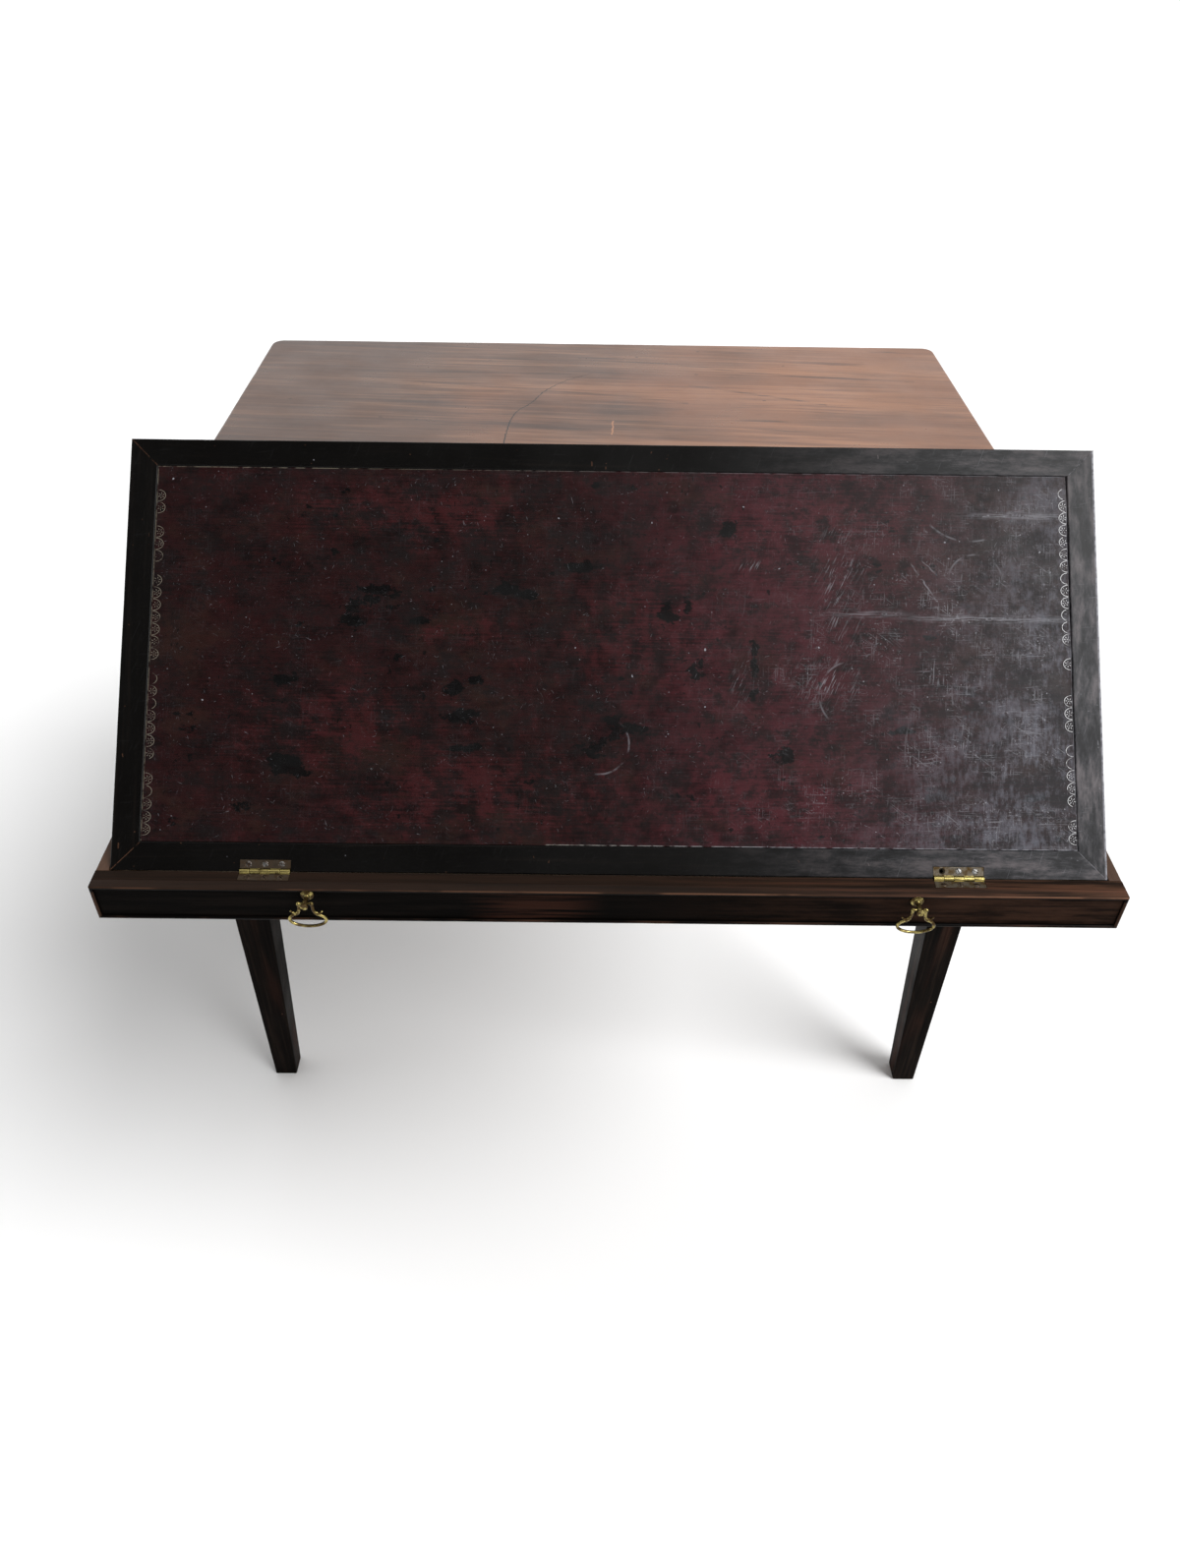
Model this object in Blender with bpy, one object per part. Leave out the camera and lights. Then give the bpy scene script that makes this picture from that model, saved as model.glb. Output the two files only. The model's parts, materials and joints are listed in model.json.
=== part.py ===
"""Architect's desk: a table whose frieze drawer carries a hinged writing slope on a prop.

Metres, +Z up, floor at Z = 0. The desk stands as it is used: drawer pulled out to its
stop, slope raised on its prop, both bails hanging. X runs to the right and Y to the back.
"""

import math

import bmesh
import bpy
from mathutils import Vector

# Fits between pieces
SEAT_GAP = 0.0003  # glued, screwed or resting faces
RUNNING_GAP = 0.0003  # drawer on its runners, pins in their bores

# Table top
TABLE_HEIGHT = 0.788
TOP_WIDTH = 0.914
TOP_DEPTH = 0.662
TOP_THICKNESS = 0.020
TOP_OVERHANG = 0.012
TOP_CORNER_RADIUS = 0.016
TOP_EDGE_ROUND = 0.004
TOP_EDGE_STEPS = 3
TOP_CORNER_STEPS = 5

# Legs: square at the frieze, tapering on the two inner faces
LEG_SQUARE = 0.058
LEG_FOOT = 0.029
LEG_ARRIS = 0.0012
LEG_ARRIS_STEPS = 1

# Frieze rails, tenoned into the legs
RAIL_THICKNESS = 0.020
FRONT_RAIL_THICKNESS = 0.022
TOP_RAIL_HEIGHT = 0.027
BOTTOM_RAIL_HEIGHT = 0.025
RAIL_REVEAL = 0.001
TENON_SHOULDER = 0.005
TENON_LENGTH = 0.025

# Runners below the drawer sides, kickers above them, guides beside them
RUNNER_WIDTH = 0.020
RUNNER_HEIGHT = 0.016
RUNNER_SHOULDER = 0.004
RUNNER_TENON = 0.006
GUIDE_HEIGHT = 0.020
GLUE_STRIP_LEG = 0.016

# Drawer
DRAWER_PULLED_OUT = 0.3687
DRAWER_SIDE_CLEARANCE = 0.001
DRAWER_BACK_CLEARANCE = 0.001
DRAWER_HEADROOM_GAP = 0.0009
DRAWER_FRONT_THICKNESS = 0.0163
DRAWER_SIDE_THICKNESS = 0.0096
DRAWER_BACK_THICKNESS = 0.0096
BOTTOM_THICKNESS = 0.004
BOTTOM_RAISE = 0.002
BOTTOM_GROOVE = 0.004
STOP_BATTEN_WIDTH = 0.400
STOP_BATTEN_DEPTH = 0.015
STOP_BATTEN_CATCH = 0.006
BEARER_WIDTH = 0.010

# Dovetails that join the drawer sides to its front and back
TAIL_LAP_LENGTH = 0.0085
TAIL_ROOT = 0.0064
TAIL_FLARE = 0.0014
TAIL_FIRST_DEPTH = 0.008
TAIL_SPACING = 0.0115
TAIL_COUNT = 2

# Cock bead round the drawer front
BEAD_THICKNESS = 0.003
BEAD_PROUD = 0.002
BEAD_SEAT = 0.007
BEAD_NOSE_STEPS = 6

# Writing slope
REST_TILT = math.radians(44.5)
SLOPE_LENGTH = 0.3355
SLOPE_THICKNESS = 0.0115
SLOPE_SIDE_CLEARANCE = 0.001
SLOPE_BORDER = 0.0215
TONGUE_LENGTH = 0.006
TONGUE_THICKNESS = 0.004
TONGUE_DEPTH = 0.004
LEATHER_THICKNESS = 0.001
LEATHER_SINK = 0.0002

# Butt hinges between the drawer front and the slope
HINGE_LENGTH = 0.038
HINGE_LEFT_INSET = 0.127  # set by hand, so not quite alike at the drawer's two ends
HINGE_RIGHT_INSET = 0.1232
HINGE_EDGE_GAP = 0.0004
LEAF_WIDTH = 0.009
LEAF_THICKNESS = 0.0016
KNUCKLE_RADIUS = 0.0021
KNUCKLE_COUNT = 5
KNUCKLE_CLEARANCE = 0.0004
HINGE_PIN_RADIUS = 0.001
HINGE_SCREW_SPACING = 0.0125

# Countersunk holes for the wood screws of the hinges and the prop brackets
HOLE_MOUTH_RADIUS = 0.0025
HOLE_MOUTH_DEPTH = 0.0015
HOLE_RADIUS = 0.0013
HINGE_HOLE_DEPTH = 0.008
BRACKET_HOLE_DEPTH = 0.006

# Prop frame that carries the raised slope
PROP_REACH = 0.150
PROP_SIDE_INSET = 0.1454
PROP_THICKNESS = 0.005
PROP_SLOPE_GAP = 0.0005
PROP_RAIL_WIDTH = 0.022
PROP_STILE_WIDTH = 0.024
PROP_STILE_INSET = 0.030
PROP_LAP = 0.014
PROP_NOSE_STEPS = 6
PROP_PIN_RADIUS = 0.00125
PROP_PIN_DEPTH = 0.012
BRACKET_LENGTH = 0.018
BRACKET_THICKNESS = 0.0016
BRACKET_PLATE_WIDTH = 0.012
BRACKET_WALL = 0.0022
BRACKET_SIDE_GAP = 0.0005
BRACKET_SCREW_SPACING = 0.010

# Notched racks under the foot of the prop
RACK_CLEARANCE = 0.0004
RACK_HEIGHT = 0.0035
RACK_NOTCH_DEPTH = 0.0024
RACK_PITCH = 0.010
RACK_LAND = 0.0015
RACK_NOTCHES_IN_FRONT = 7
RACK_NOTCHES_BEHIND = 2
RACK_WIDTH = 0.014
RACK_INSET = 0.070

# Handles: a turned post with a swinging bail
HANDLE_LEFT_INSET = 0.161  # set by hand too
HANDLE_RIGHT_INSET = 0.157
HANDLE_DROP = 0.0062
ROSE_RADIUS = 0.005
ROSE_THICKNESS = 0.0016
POST_LENGTH = 0.014
POST_NECK_RADIUS = 0.0017
POST_NECK_REACH = 0.005
POST_BOSS_RADIUS = 0.0023
POST_KNOB_RADIUS = 0.0029
POST_KNOB_THICKNESS = 0.0014
POST_KNOB_ROUND = 0.0004
POST_SHANK_RADIUS = 0.0016
PIVOT_REACH = 0.010
NUT_SQUARE = 0.007
NUT_THICKNESS = 0.0026
NUT_RECESS = 0.0032
BAIL_WIDTH = 0.0298
BAIL_DROP = 0.025
BAIL_WIRE_RADIUS = 0.0012
BAIL_LOOP_HEIGHT = 0.0142
BAIL_ARM_SPREAD = 0.005
BAIL_PIN_RADIUS = 0.0008
BAIL_PIN_INNER = 0.001
BAIL_LOOP_OPENING = math.radians(55.0)
BAIL_LOOP_STEPS = 14
BAIL_ARM_STEPS = 7
SPUR_REACH = 0.012
SPUR_DROP = 0.0074
SPUR_SAG = 0.003
SPUR_TIP_RADIUS = 0.0007
SPUR_STEPS = 6

# Counts of flats on round pieces
FINE_SIDES = 20
SMALL_SIDES = 12
WIRE_SIDES = 8
SMOOTH_ANGLE = math.radians(40.0)
EASED_ANGLE = math.radians(60.0)
CUTTER_SPARE = 0.002  # how far a cutter runs past the face that it opens

# Sizes that follow from the ones above
carcass_half_width = TOP_WIDTH / 2 - TOP_OVERHANG
carcass_depth = TOP_DEPTH - 2 * TOP_OVERHANG
leg_inner = carcass_half_width - LEG_SQUARE
top_underside = TABLE_HEIGHT - TOP_THICKNESS
drawer_headroom = KNUCKLE_RADIUS + DRAWER_HEADROOM_GAP
drawer_top = top_underside - TOP_RAIL_HEIGHT - drawer_headroom
drawer_half_width = leg_inner - DRAWER_SIDE_CLEARANCE
drawer_inner = drawer_half_width - DRAWER_SIDE_THICKNESS
back_rail_face = carcass_depth - RAIL_REVEAL - RAIL_THICKNESS
drawer_length = back_rail_face - DRAWER_BACK_CLEARANCE
slope_half_width = drawer_inner - SLOPE_SIDE_CLEARANCE
hinge_inset = DRAWER_FRONT_THICKNESS + HINGE_EDGE_GAP
prop_half_width = slope_half_width - PROP_SIDE_INSET
prop_pivot_drop = SLOPE_THICKNESS + PROP_SLOPE_GAP + PROP_THICKNESS / 2
prop_length = PROP_REACH + prop_pivot_drop * math.tan(REST_TILT)
prop_foot_reach = (PROP_REACH + prop_length) * math.cos(REST_TILT) + prop_pivot_drop * math.sin(REST_TILT)
rack_crest = prop_pivot_drop / math.cos(REST_TILT) + PROP_THICKNESS / 2 + RACK_CLEARANCE
bottom_top = rack_crest + RACK_HEIGHT + SEAT_GAP
bottom_underside = bottom_top + BOTTOM_THICKNESS
drawer_height = bottom_underside + BOTTOM_RAISE
runner_top = drawer_top - drawer_height - RUNNING_GAP
frieze_bottom = runner_top - BOTTOM_RAIL_HEIGHT
knuckle_length = HINGE_LENGTH / KNUCKLE_COUNT
leaf_root = KNUCKLE_RADIUS + KNUCKLE_CLEARANCE
hinge_screw_line = (leaf_root + LEAF_WIDTH) / 2
leather_bed = LEATHER_SINK + LEATHER_THICKNESS + SEAT_GAP

# The overall box is centred on the origin: handle tips in front, table top at the back
front_reach = DRAWER_PULLED_OUT + POST_LENGTH
back_reach = TOP_DEPTH - TOP_OVERHANG
leg_face_y = (front_reach - back_reach) / 2

SIDES = (("left", -1), ("right", 1))
hinge_places = {
    "left": HINGE_LEFT_INSET - drawer_half_width,
    "right": drawer_half_width - HINGE_RIGHT_INSET,
}
handle_places = {
    "left": HANDLE_LEFT_INSET - drawer_half_width,
    "right": drawer_half_width - HANDLE_RIGHT_INSET,
}


def remove_everything():
    for thing in list(bpy.data.objects):
        bpy.data.objects.remove(thing, do_unlink=True)


def finish(name, colour, roughness, metallic=0.0):
    material = bpy.data.materials.new(name)
    material.use_nodes = True
    shader = material.node_tree.nodes["Principled BSDF"]
    shader.inputs["Base Color"].default_value = (*colour, 1.0)
    shader.inputs["Roughness"].default_value = roughness
    shader.inputs["Metallic"].default_value = metallic
    return material


def frame(name, location, parent=None, tilt=0.0):
    """Empty that carries the pieces of one body; tilt turns it about X."""
    empty = bpy.data.objects.new(name, None)
    bpy.context.scene.collection.objects.link(empty)
    empty.parent = parent
    empty.location = location
    empty.rotation_euler = (tilt, 0.0, 0.0)
    return empty


# Shapes: a body is a list of rings of points, skinned from the first ring to the last


def on_axis(axis, along, u, v):
    """Point with a value along one axis, and u and v on the other two in X, Y, Z order."""
    if axis == "X":
        return (along, u, v)
    if axis == "Y":
        return (u, along, v)
    return (u, v, along)


def span(first, second):
    return (min(first, second), max(first, second))


def stepped(axis, rings):
    """Bar of rectangles; each ring is (along, (u low, u high), (v low, v high))."""
    body = []
    for along, u, v in rings:
        corners = ((u[0], v[0]), (u[1], v[0]), (u[1], v[1]), (u[0], v[1]))
        body.append([on_axis(axis, along, *corner) for corner in corners])
    return body


def block(x, y, z):
    return stepped("Z", [(z[0], x, y), (z[1], x, y)])


def prism(axis, outline, low, high):
    return [[on_axis(axis, along, u, v) for u, v in outline] for along in (low, high)]


def turned(axis, profile, centre, sides):
    """Round body about an axis; the profile lists (along, radius) from end to end."""
    body = []
    for along, radius in profile:
        turns = [2 * math.pi * step / sides for step in range(sides)]
        ring = [on_axis(axis, along, radius * math.cos(t), radius * math.sin(t)) for t in turns]
        body.append([tuple(Vector(point) + Vector(centre)) for point in ring])
    return body


def sleeve(axis, low, high, outer, inner, centre, sides):
    """Tube with a through bore: its rings close on themselves."""
    loop = [(low, outer), (high, outer), (high, inner), (low, inner)]
    body = turned(axis, loop, centre, sides)
    return body + [body[0]]


def tube(path, radii, sides):
    """Wire along a path in the XZ plane."""
    body = []
    for index, (point, radius) in enumerate(zip(path, radii)):
        before = path[max(index - 1, 0)]
        after = path[min(index + 1, len(path) - 1)]
        heading = (after - before).normalized()
        across = Vector((-heading.z, 0.0, heading.x))
        ring = []
        for step in range(sides):
            turn = 2 * math.pi * step / sides
            ring.append(point + across * radius * math.cos(turn) + Vector((0, radius * math.sin(turn), 0)))
        body.append([tuple(corner) for corner in ring])
    return body


def arc(centre, radius, start, end, steps):
    """Points (u, v) along an arc, both ends included; angles in radians from +u towards +v."""
    turns = [start + (end - start) * step / steps for step in range(steps + 1)]
    return [(centre[0] + radius * math.cos(t), centre[1] + radius * math.sin(t)) for t in turns]


def bezier(start, lead, follow, end, steps):
    points = []
    for step in range(steps + 1):
        t = step / steps
        s = 1 - t
        points.append(start * s**3 + lead * (3 * s * s * t) + follow * (3 * s * t * t) + end * t**3)
    return points


def mitred_frame(axis, u, v, profile):
    """Four bars round a rectangle with mitred ends.

    The profile lists (inward, along): the distance in from the rectangle's edge, and the
    place on the axis. Half the seat gap is taken off each end, so the mitres don't touch.
    """
    bars = {"front": [], "back": [], "left": [], "right": []}
    for end in (0, 1):
        into = 1 if end == 0 else -1
        rings = {name: [] for name in bars}
        for inward, along in profile:
            trim = into * (inward + SEAT_GAP / 2)
            rings["front"].append(on_axis(axis, along, u[end] + trim, v[0] + inward))
            rings["back"].append(on_axis(axis, along, u[end] + trim, v[1] - inward))
            rings["left"].append(on_axis(axis, along, u[0] + inward, v[end] + trim))
            rings["right"].append(on_axis(axis, along, u[1] - inward, v[end] + trim))
        for name, ring in rings.items():
            bars[name].append(ring)
    return bars


def skin(name, bodies, origin):
    """Mesh with one closed surface for each body, moved so that the origin is at zero."""
    bm = bmesh.new()
    for body in bodies:
        looped = body[0] is body[-1]
        rings = body[:-1] if looped else body
        rows = [[bm.verts.new(Vector(point) - origin) for point in ring] for ring in rings]
        pairs = list(zip(rows, rows[1:]))
        if looped:
            pairs.append((rows[-1], rows[0]))
        else:
            bm.faces.new(rows[0])
            bm.faces.new(rows[-1])
        for row, following in pairs:
            for index in range(len(row)):
                after = (index + 1) % len(row)
                bm.faces.new((row[index], row[after], following[after], following[index]))
    bmesh.ops.recalc_face_normals(bm, faces=bm.faces)
    mesh = bpy.data.meshes.new(name)
    bm.to_mesh(mesh)
    bm.free()
    return mesh


def middle(bodies):
    """Centre of the box that holds the bodies."""
    points = [Vector(point) for body in bodies for ring in body for point in ring]
    low = Vector(min(point[axis] for point in points) for axis in range(3))
    high = Vector(max(point[axis] for point in points) for axis in range(3))
    return (low + high) / 2


def set_out(name, bodies, parent):
    """Object with its origin at the middle of its bodies, set in the parent's frame."""
    origin = middle(bodies)
    thing = bpy.data.objects.new(name, skin(name, bodies, origin))
    bpy.context.scene.collection.objects.link(thing)
    thing.parent = parent
    thing.location = origin
    return thing


def piece(name, bodies, parent, material, smooth=False):
    thing = set_out(name, bodies, parent)
    thing.data.materials.append(material)
    if smooth:
        thing.data.shade_smooth()
        thing.data.set_sharp_from_angle(angle=SMOOTH_ANGLE)
    return thing


def cutter(name, bodies, parent):
    thing = set_out(name, bodies, parent)
    thing.hide_render = True
    thing.display_type = "WIRE"
    return thing


def combine(thing, other, operation):
    modifier = thing.modifiers.new(other.name, "BOOLEAN")
    modifier.operation = operation
    modifier.solver = "EXACT"
    modifier.object = other


def cut(thing, other):
    combine(thing, other, "DIFFERENCE")


def ease(thing, width, segments):
    """Round the sharp edges of a piece."""
    modifier = thing.modifiers.new("eased_edges", "BEVEL")
    modifier.width = width
    modifier.segments = segments
    modifier.limit_method = "ANGLE"
    modifier.angle_limit = EASED_ANGLE


# Carcass


def inset_span(limits, inset):
    return (limits[0] + inset, limits[1] - inset)


def tenoned_bar(name, axis, ends, u, v, shoulder, tenon, supports, parent, material):
    """Rail with a tenon at each end, and the mortises for them in its two supports."""
    seat_u = inset_span(u, shoulder)
    seat_v = inset_span(v, shoulder)
    low, high = inset_span(ends, SEAT_GAP)
    tips = inset_span(ends, -tenon)
    rings = [
        (tips[0], seat_u, seat_v),
        (low, seat_u, seat_v),
        (low, u, v),
        (high, u, v),
        (high, seat_u, seat_v),
        (tips[1], seat_u, seat_v),
    ]
    bar = piece(name, [stepped(axis, rings)], parent, material)
    socket_u = inset_span(seat_u, -SEAT_GAP)
    socket_v = inset_span(seat_v, -SEAT_GAP)
    reach = inset_span(tips, -SEAT_GAP)
    socket = [(reach[0], socket_u, socket_v), (reach[1], socket_u, socket_v)]
    mortise = cutter(name + "_mortise", [stepped(axis, socket)], parent)
    for support in supports:
        cut(support, mortise)
    return bar


def make_table_top(carcass, wood):
    x = (-TOP_WIDTH / 2, TOP_WIDTH / 2)
    y = (-TOP_OVERHANG, TOP_DEPTH - TOP_OVERHANG)
    outline = []
    quarter = math.pi / 2
    corners = ((x[1], y[1], -1, -1, 0), (x[0], y[1], 1, -1, 1), (x[0], y[0], 1, 1, 2), (x[1], y[0], -1, 1, 3))
    for corner_x, corner_y, into_x, into_y, turn in corners:
        centre = (corner_x + into_x * TOP_CORNER_RADIUS, corner_y + into_y * TOP_CORNER_RADIUS)
        outline += arc(centre, TOP_CORNER_RADIUS, turn * quarter, (turn + 1) * quarter, TOP_CORNER_STEPS)
    board = piece("table_top", [prism("Z", outline, top_underside, TABLE_HEIGHT)], carcass, wood)
    ease(board, TOP_EDGE_ROUND, TOP_EDGE_STEPS)


def make_legs(carcass, wood):
    legs = {}
    for side, sign in SIDES:
        for end, face, into in (("front", 0.0, 1), ("back", carcass_depth, -1)):
            outer = sign * carcass_half_width
            rings = []
            for height, size in (
                (0.0, LEG_FOOT),
                (frieze_bottom, LEG_SQUARE),
                (top_underside - SEAT_GAP, LEG_SQUARE),
            ):
                rings.append((height, span(outer, outer - sign * size), span(face, face + into * size)))
            leg = piece("leg_%s_%s" % (end, side), [stepped("Z", rings)], carcass, wood)
            ease(leg, LEG_ARRIS, LEG_ARRIS_STEPS)
            legs[end, side] = leg
    return legs


def make_rails(carcass, wood, legs):
    rails = {}
    between_legs = (-leg_inner, leg_inner)
    full_height = (frieze_bottom, top_underside - SEAT_GAP)
    for side, sign in SIDES:
        outer = sign * (carcass_half_width - RAIL_REVEAL)
        rails["side", side] = tenoned_bar(
            "side_rail_" + side,
            "Y",
            (LEG_SQUARE, carcass_depth - LEG_SQUARE),
            span(outer, outer - sign * RAIL_THICKNESS),
            full_height,
            TENON_SHOULDER,
            TENON_LENGTH,
            (legs["front", side], legs["back", side]),
            carcass,
            wood,
        )
    fronts = (legs["front", "left"], legs["front", "right"])
    backs = (legs["back", "left"], legs["back", "right"])
    front_y = (RAIL_REVEAL, RAIL_REVEAL + FRONT_RAIL_THICKNESS)
    back_y = (back_rail_face, back_rail_face + RAIL_THICKNESS)
    top_z = (top_underside - TOP_RAIL_HEIGHT, top_underside - SEAT_GAP)
    bottom_z = (frieze_bottom, runner_top)
    for name, y, z, supports in (
        ("back_rail", back_y, full_height, backs),
        ("front_top_rail", front_y, top_z, fronts),
        ("front_bottom_rail", front_y, bottom_z, fronts),
    ):
        rails[name] = tenoned_bar(
            name, "X", between_legs, y, z, TENON_SHOULDER, TENON_LENGTH, supports, carcass, wood
        )
    return rails


def make_drawer_ways(carcass, wood, rails):
    """Runners, kickers and guides that the drawer slides between."""
    ends = (RAIL_REVEAL + FRONT_RAIL_THICKNESS, back_rail_face)
    kicker_bottom = top_underside - TOP_RAIL_HEIGHT
    runner_z = (runner_top - RUNNER_HEIGHT, runner_top)
    kicker_z = (kicker_bottom, kicker_bottom + RUNNER_HEIGHT)
    guide_z = (runner_top, runner_top + GUIDE_HEIGHT)
    guide_y = inset_span((LEG_SQUARE, carcass_depth - LEG_SQUARE), SEAT_GAP)
    rail_inner = carcass_half_width - RAIL_REVEAL - RAIL_THICKNESS
    for side, sign in SIDES:
        outer = sign * (leg_inner - SEAT_GAP)
        x = span(outer, outer - sign * RUNNER_WIDTH)
        for name, z, front_rail in (
            ("drawer_runner_", runner_z, rails["front_bottom_rail"]),
            ("drawer_kicker_", kicker_z, rails["front_top_rail"]),
        ):
            supports = (front_rail, rails["back_rail"])
            tenoned_bar(name + side, "Y", ends, x, z, RUNNER_SHOULDER, RUNNER_TENON, supports, carcass, wood)
        guide_x = span(sign * leg_inner, sign * (rail_inner - SEAT_GAP))
        piece("drawer_guide_" + side, [block(guide_x, guide_y, guide_z)], carcass, wood)


def make_glue_strips(carcass, wood):
    """Three-cornered strips glued into the corners between the side rails and the top."""
    under = top_underside - SEAT_GAP
    low = under - GLUE_STRIP_LEG
    ends = inset_span((LEG_SQUARE, carcass_depth - LEG_SQUARE), SEAT_GAP)
    for side, sign in SIDES:
        wall = sign * (carcass_half_width - RAIL_REVEAL - RAIL_THICKNESS - SEAT_GAP)
        outline = ((wall, under), (wall - sign * GLUE_STRIP_LEG, under), (wall, low))
        piece("glue_strip_" + side, [prism("Y", outline, *ends)], carcass, wood)


# Drawer: Y = 0 at its front face, Z = 0 at its top edge


def side_outline(grow):
    """Drawer side seen from the side, with dovetail ends; grow widens the tails for their sockets."""
    shoulders = (DRAWER_FRONT_THICKNESS + SEAT_GAP, drawer_length - DRAWER_BACK_THICKNESS - SEAT_GAP)
    tips = (DRAWER_FRONT_THICKNESS - TAIL_LAP_LENGTH - grow, drawer_length + grow)
    depths = [TAIL_FIRST_DEPTH + TAIL_SPACING * index for index in range(TAIL_COUNT)]
    root = TAIL_ROOT / 2 + grow
    flare = root + TAIL_FLARE
    outline = [(shoulders[0], 0.0)]
    for depth in depths:
        outline += [(shoulders[0], root - depth), (tips[0], flare - depth)]
        outline += [(tips[0], -flare - depth), (shoulders[0], -root - depth)]
    outline += [(shoulders[0], -drawer_height), (shoulders[1], -drawer_height)]
    for depth in reversed(depths):
        outline += [(shoulders[1], -root - depth), (tips[1], -flare - depth)]
        outline += [(tips[1], flare - depth), (shoulders[1], root - depth)]
    outline.append((shoulders[1], 0.0))
    return outline


def make_drawer_box(drawer, front_wood, lining):
    """Front, sides, back, bottom, stop and bearers; returns the front for the fittings."""
    x = (-drawer_half_width, drawer_half_width)
    z = (-drawer_height, 0.0)
    face_x = inset_span(x, BEAD_THICKNESS)
    face_z = inset_span(z, BEAD_THICKNESS)
    rings = [(0.0, face_x, face_z), (BEAD_SEAT, face_x, face_z), (BEAD_SEAT, x, z)]
    rings.append((DRAWER_FRONT_THICKNESS, x, z))
    front = piece("drawer_front", [stepped("Y", rings)], drawer, front_wood)

    back_y = (drawer_length - DRAWER_BACK_THICKNESS, drawer_length)
    back = piece("drawer_back", [block(x, back_y, (-bottom_top + SEAT_GAP, 0.0))], drawer, lining)

    panel_z = (-bottom_underside, -bottom_top)
    groove_x = inset_span((-drawer_inner, drawer_inner), -BOTTOM_GROOVE)
    groove_y = (DRAWER_FRONT_THICKNESS - BOTTOM_GROOVE, drawer_length + CUTTER_SPARE)
    groove_z = inset_span(panel_z, -SEAT_GAP)
    groove = cutter("bottom_groove", [block(groove_x, groove_y, groove_z)], drawer)
    cut(front, groove)
    for side, sign in SIDES:
        outer = sign * drawer_half_width
        inner = sign * drawer_inner
        board = piece(
            "drawer_side_" + side, [prism("X", side_outline(0.0), *span(outer, inner))], drawer, lining
        )
        socket_x = span(outer + sign * CUTTER_SPARE, inner - sign * SEAT_GAP)
        socket = cutter("dovetail_sockets_" + side, [prism("X", side_outline(SEAT_GAP), *socket_x)], drawer)
        cut(front, socket)
        cut(back, socket)
        cut(board, groove)

    panel_x = inset_span(groove_x, SEAT_GAP)
    panel_y = (groove_y[0] + SEAT_GAP, drawer_length)
    piece("drawer_bottom", [block(panel_x, panel_y, panel_z)], drawer, lining)

    stop_front = DRAWER_PULLED_OUT + RAIL_REVEAL + FRONT_RAIL_THICKNESS + RUNNING_GAP
    stop_y = (stop_front, stop_front + STOP_BATTEN_DEPTH)
    stop_x = (-STOP_BATTEN_WIDTH / 2, STOP_BATTEN_WIDTH / 2)
    stop_z = (-drawer_height - RUNNING_GAP - STOP_BATTEN_CATCH, -bottom_underside - SEAT_GAP)
    piece("drawer_stop_batten", [block(stop_x, stop_y, stop_z)], drawer, lining)

    bearer_y = (DRAWER_FRONT_THICKNESS + SEAT_GAP, hinge_inset + SLOPE_LENGTH)
    bearer_z = (-bottom_top + SEAT_GAP, -SLOPE_THICKNESS - SEAT_GAP)
    for side, sign in SIDES:
        wall = sign * (drawer_inner - SEAT_GAP)
        bearer_x = span(wall, wall - sign * BEARER_WIDTH)
        piece("slope_bearer_" + side, [block(bearer_x, bearer_y, bearer_z)], drawer, lining)
    return front


def make_cock_beads(drawer, wood):
    """Four mitred strips with round noses; returns the top one, which the roses are let into."""
    width = BEAD_THICKNESS - SEAT_GAP
    nose = arc((width / 2, width / 2 - BEAD_PROUD), width / 2, math.pi, 2 * math.pi, BEAD_NOSE_STEPS)
    seat = BEAD_SEAT - SEAT_GAP
    profile = nose + [(width, seat), (0.0, seat)]
    bars = mitred_frame("Y", (-drawer_half_width, drawer_half_width), (-drawer_height, 0.0), profile)
    names = {"front": "bottom", "back": "top", "left": "left", "right": "right"}
    beads = {}
    for side, body in bars.items():
        name = names[side]
        beads[name] = piece("cock_bead_" + name, [body], drawer, wood)
    return beads["top"]


def make_racks(drawer, wood):
    """Two strips with saw notches in which the foot of the prop stands."""
    foot = hinge_inset + prop_foot_reach
    wall = foot + PROP_THICKNESS / 2 + RACK_CLEARANCE
    first = wall - RACK_NOTCHES_IN_FRONT * RACK_PITCH
    low = -rack_crest - RACK_HEIGHT
    outline = [(first - RACK_PITCH, low), (first - RACK_PITCH, -rack_crest)]
    for index in range(RACK_NOTCHES_IN_FRONT + RACK_NOTCHES_BEHIND + 1):
        here = first + index * RACK_PITCH
        outline += [(here - RACK_PITCH + RACK_LAND, -rack_crest), (here, -rack_crest - RACK_NOTCH_DEPTH)]
        outline.append((here, -rack_crest))
    last = first + (RACK_NOTCHES_IN_FRONT + RACK_NOTCHES_BEHIND) * RACK_PITCH
    outline += [(last + RACK_PITCH, -rack_crest), (last + RACK_PITCH, low)]
    for side, sign in SIDES:
        centre = sign * (prop_half_width - RACK_INSET)
        x = inset_span((centre, centre), -RACK_WIDTH / 2)
        piece("prop_rack_" + side, [prism("X", outline, *x)], drawer, wood)


# Hinges


def screw_hole(centre, depth, up):
    """Countersunk hole down the Z axis from the centre; up is -1 for one that runs upwards."""
    profile = [(-depth, HOLE_RADIUS), (-HOLE_MOUTH_DEPTH, HOLE_RADIUS)]
    profile += [(0.0, HOLE_MOUTH_RADIUS), (CUTTER_SPARE, HOLE_MOUTH_RADIUS)]
    return turned("Z", [(up * along, radius) for along, radius in profile], centre, SMALL_SIDES)


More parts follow.
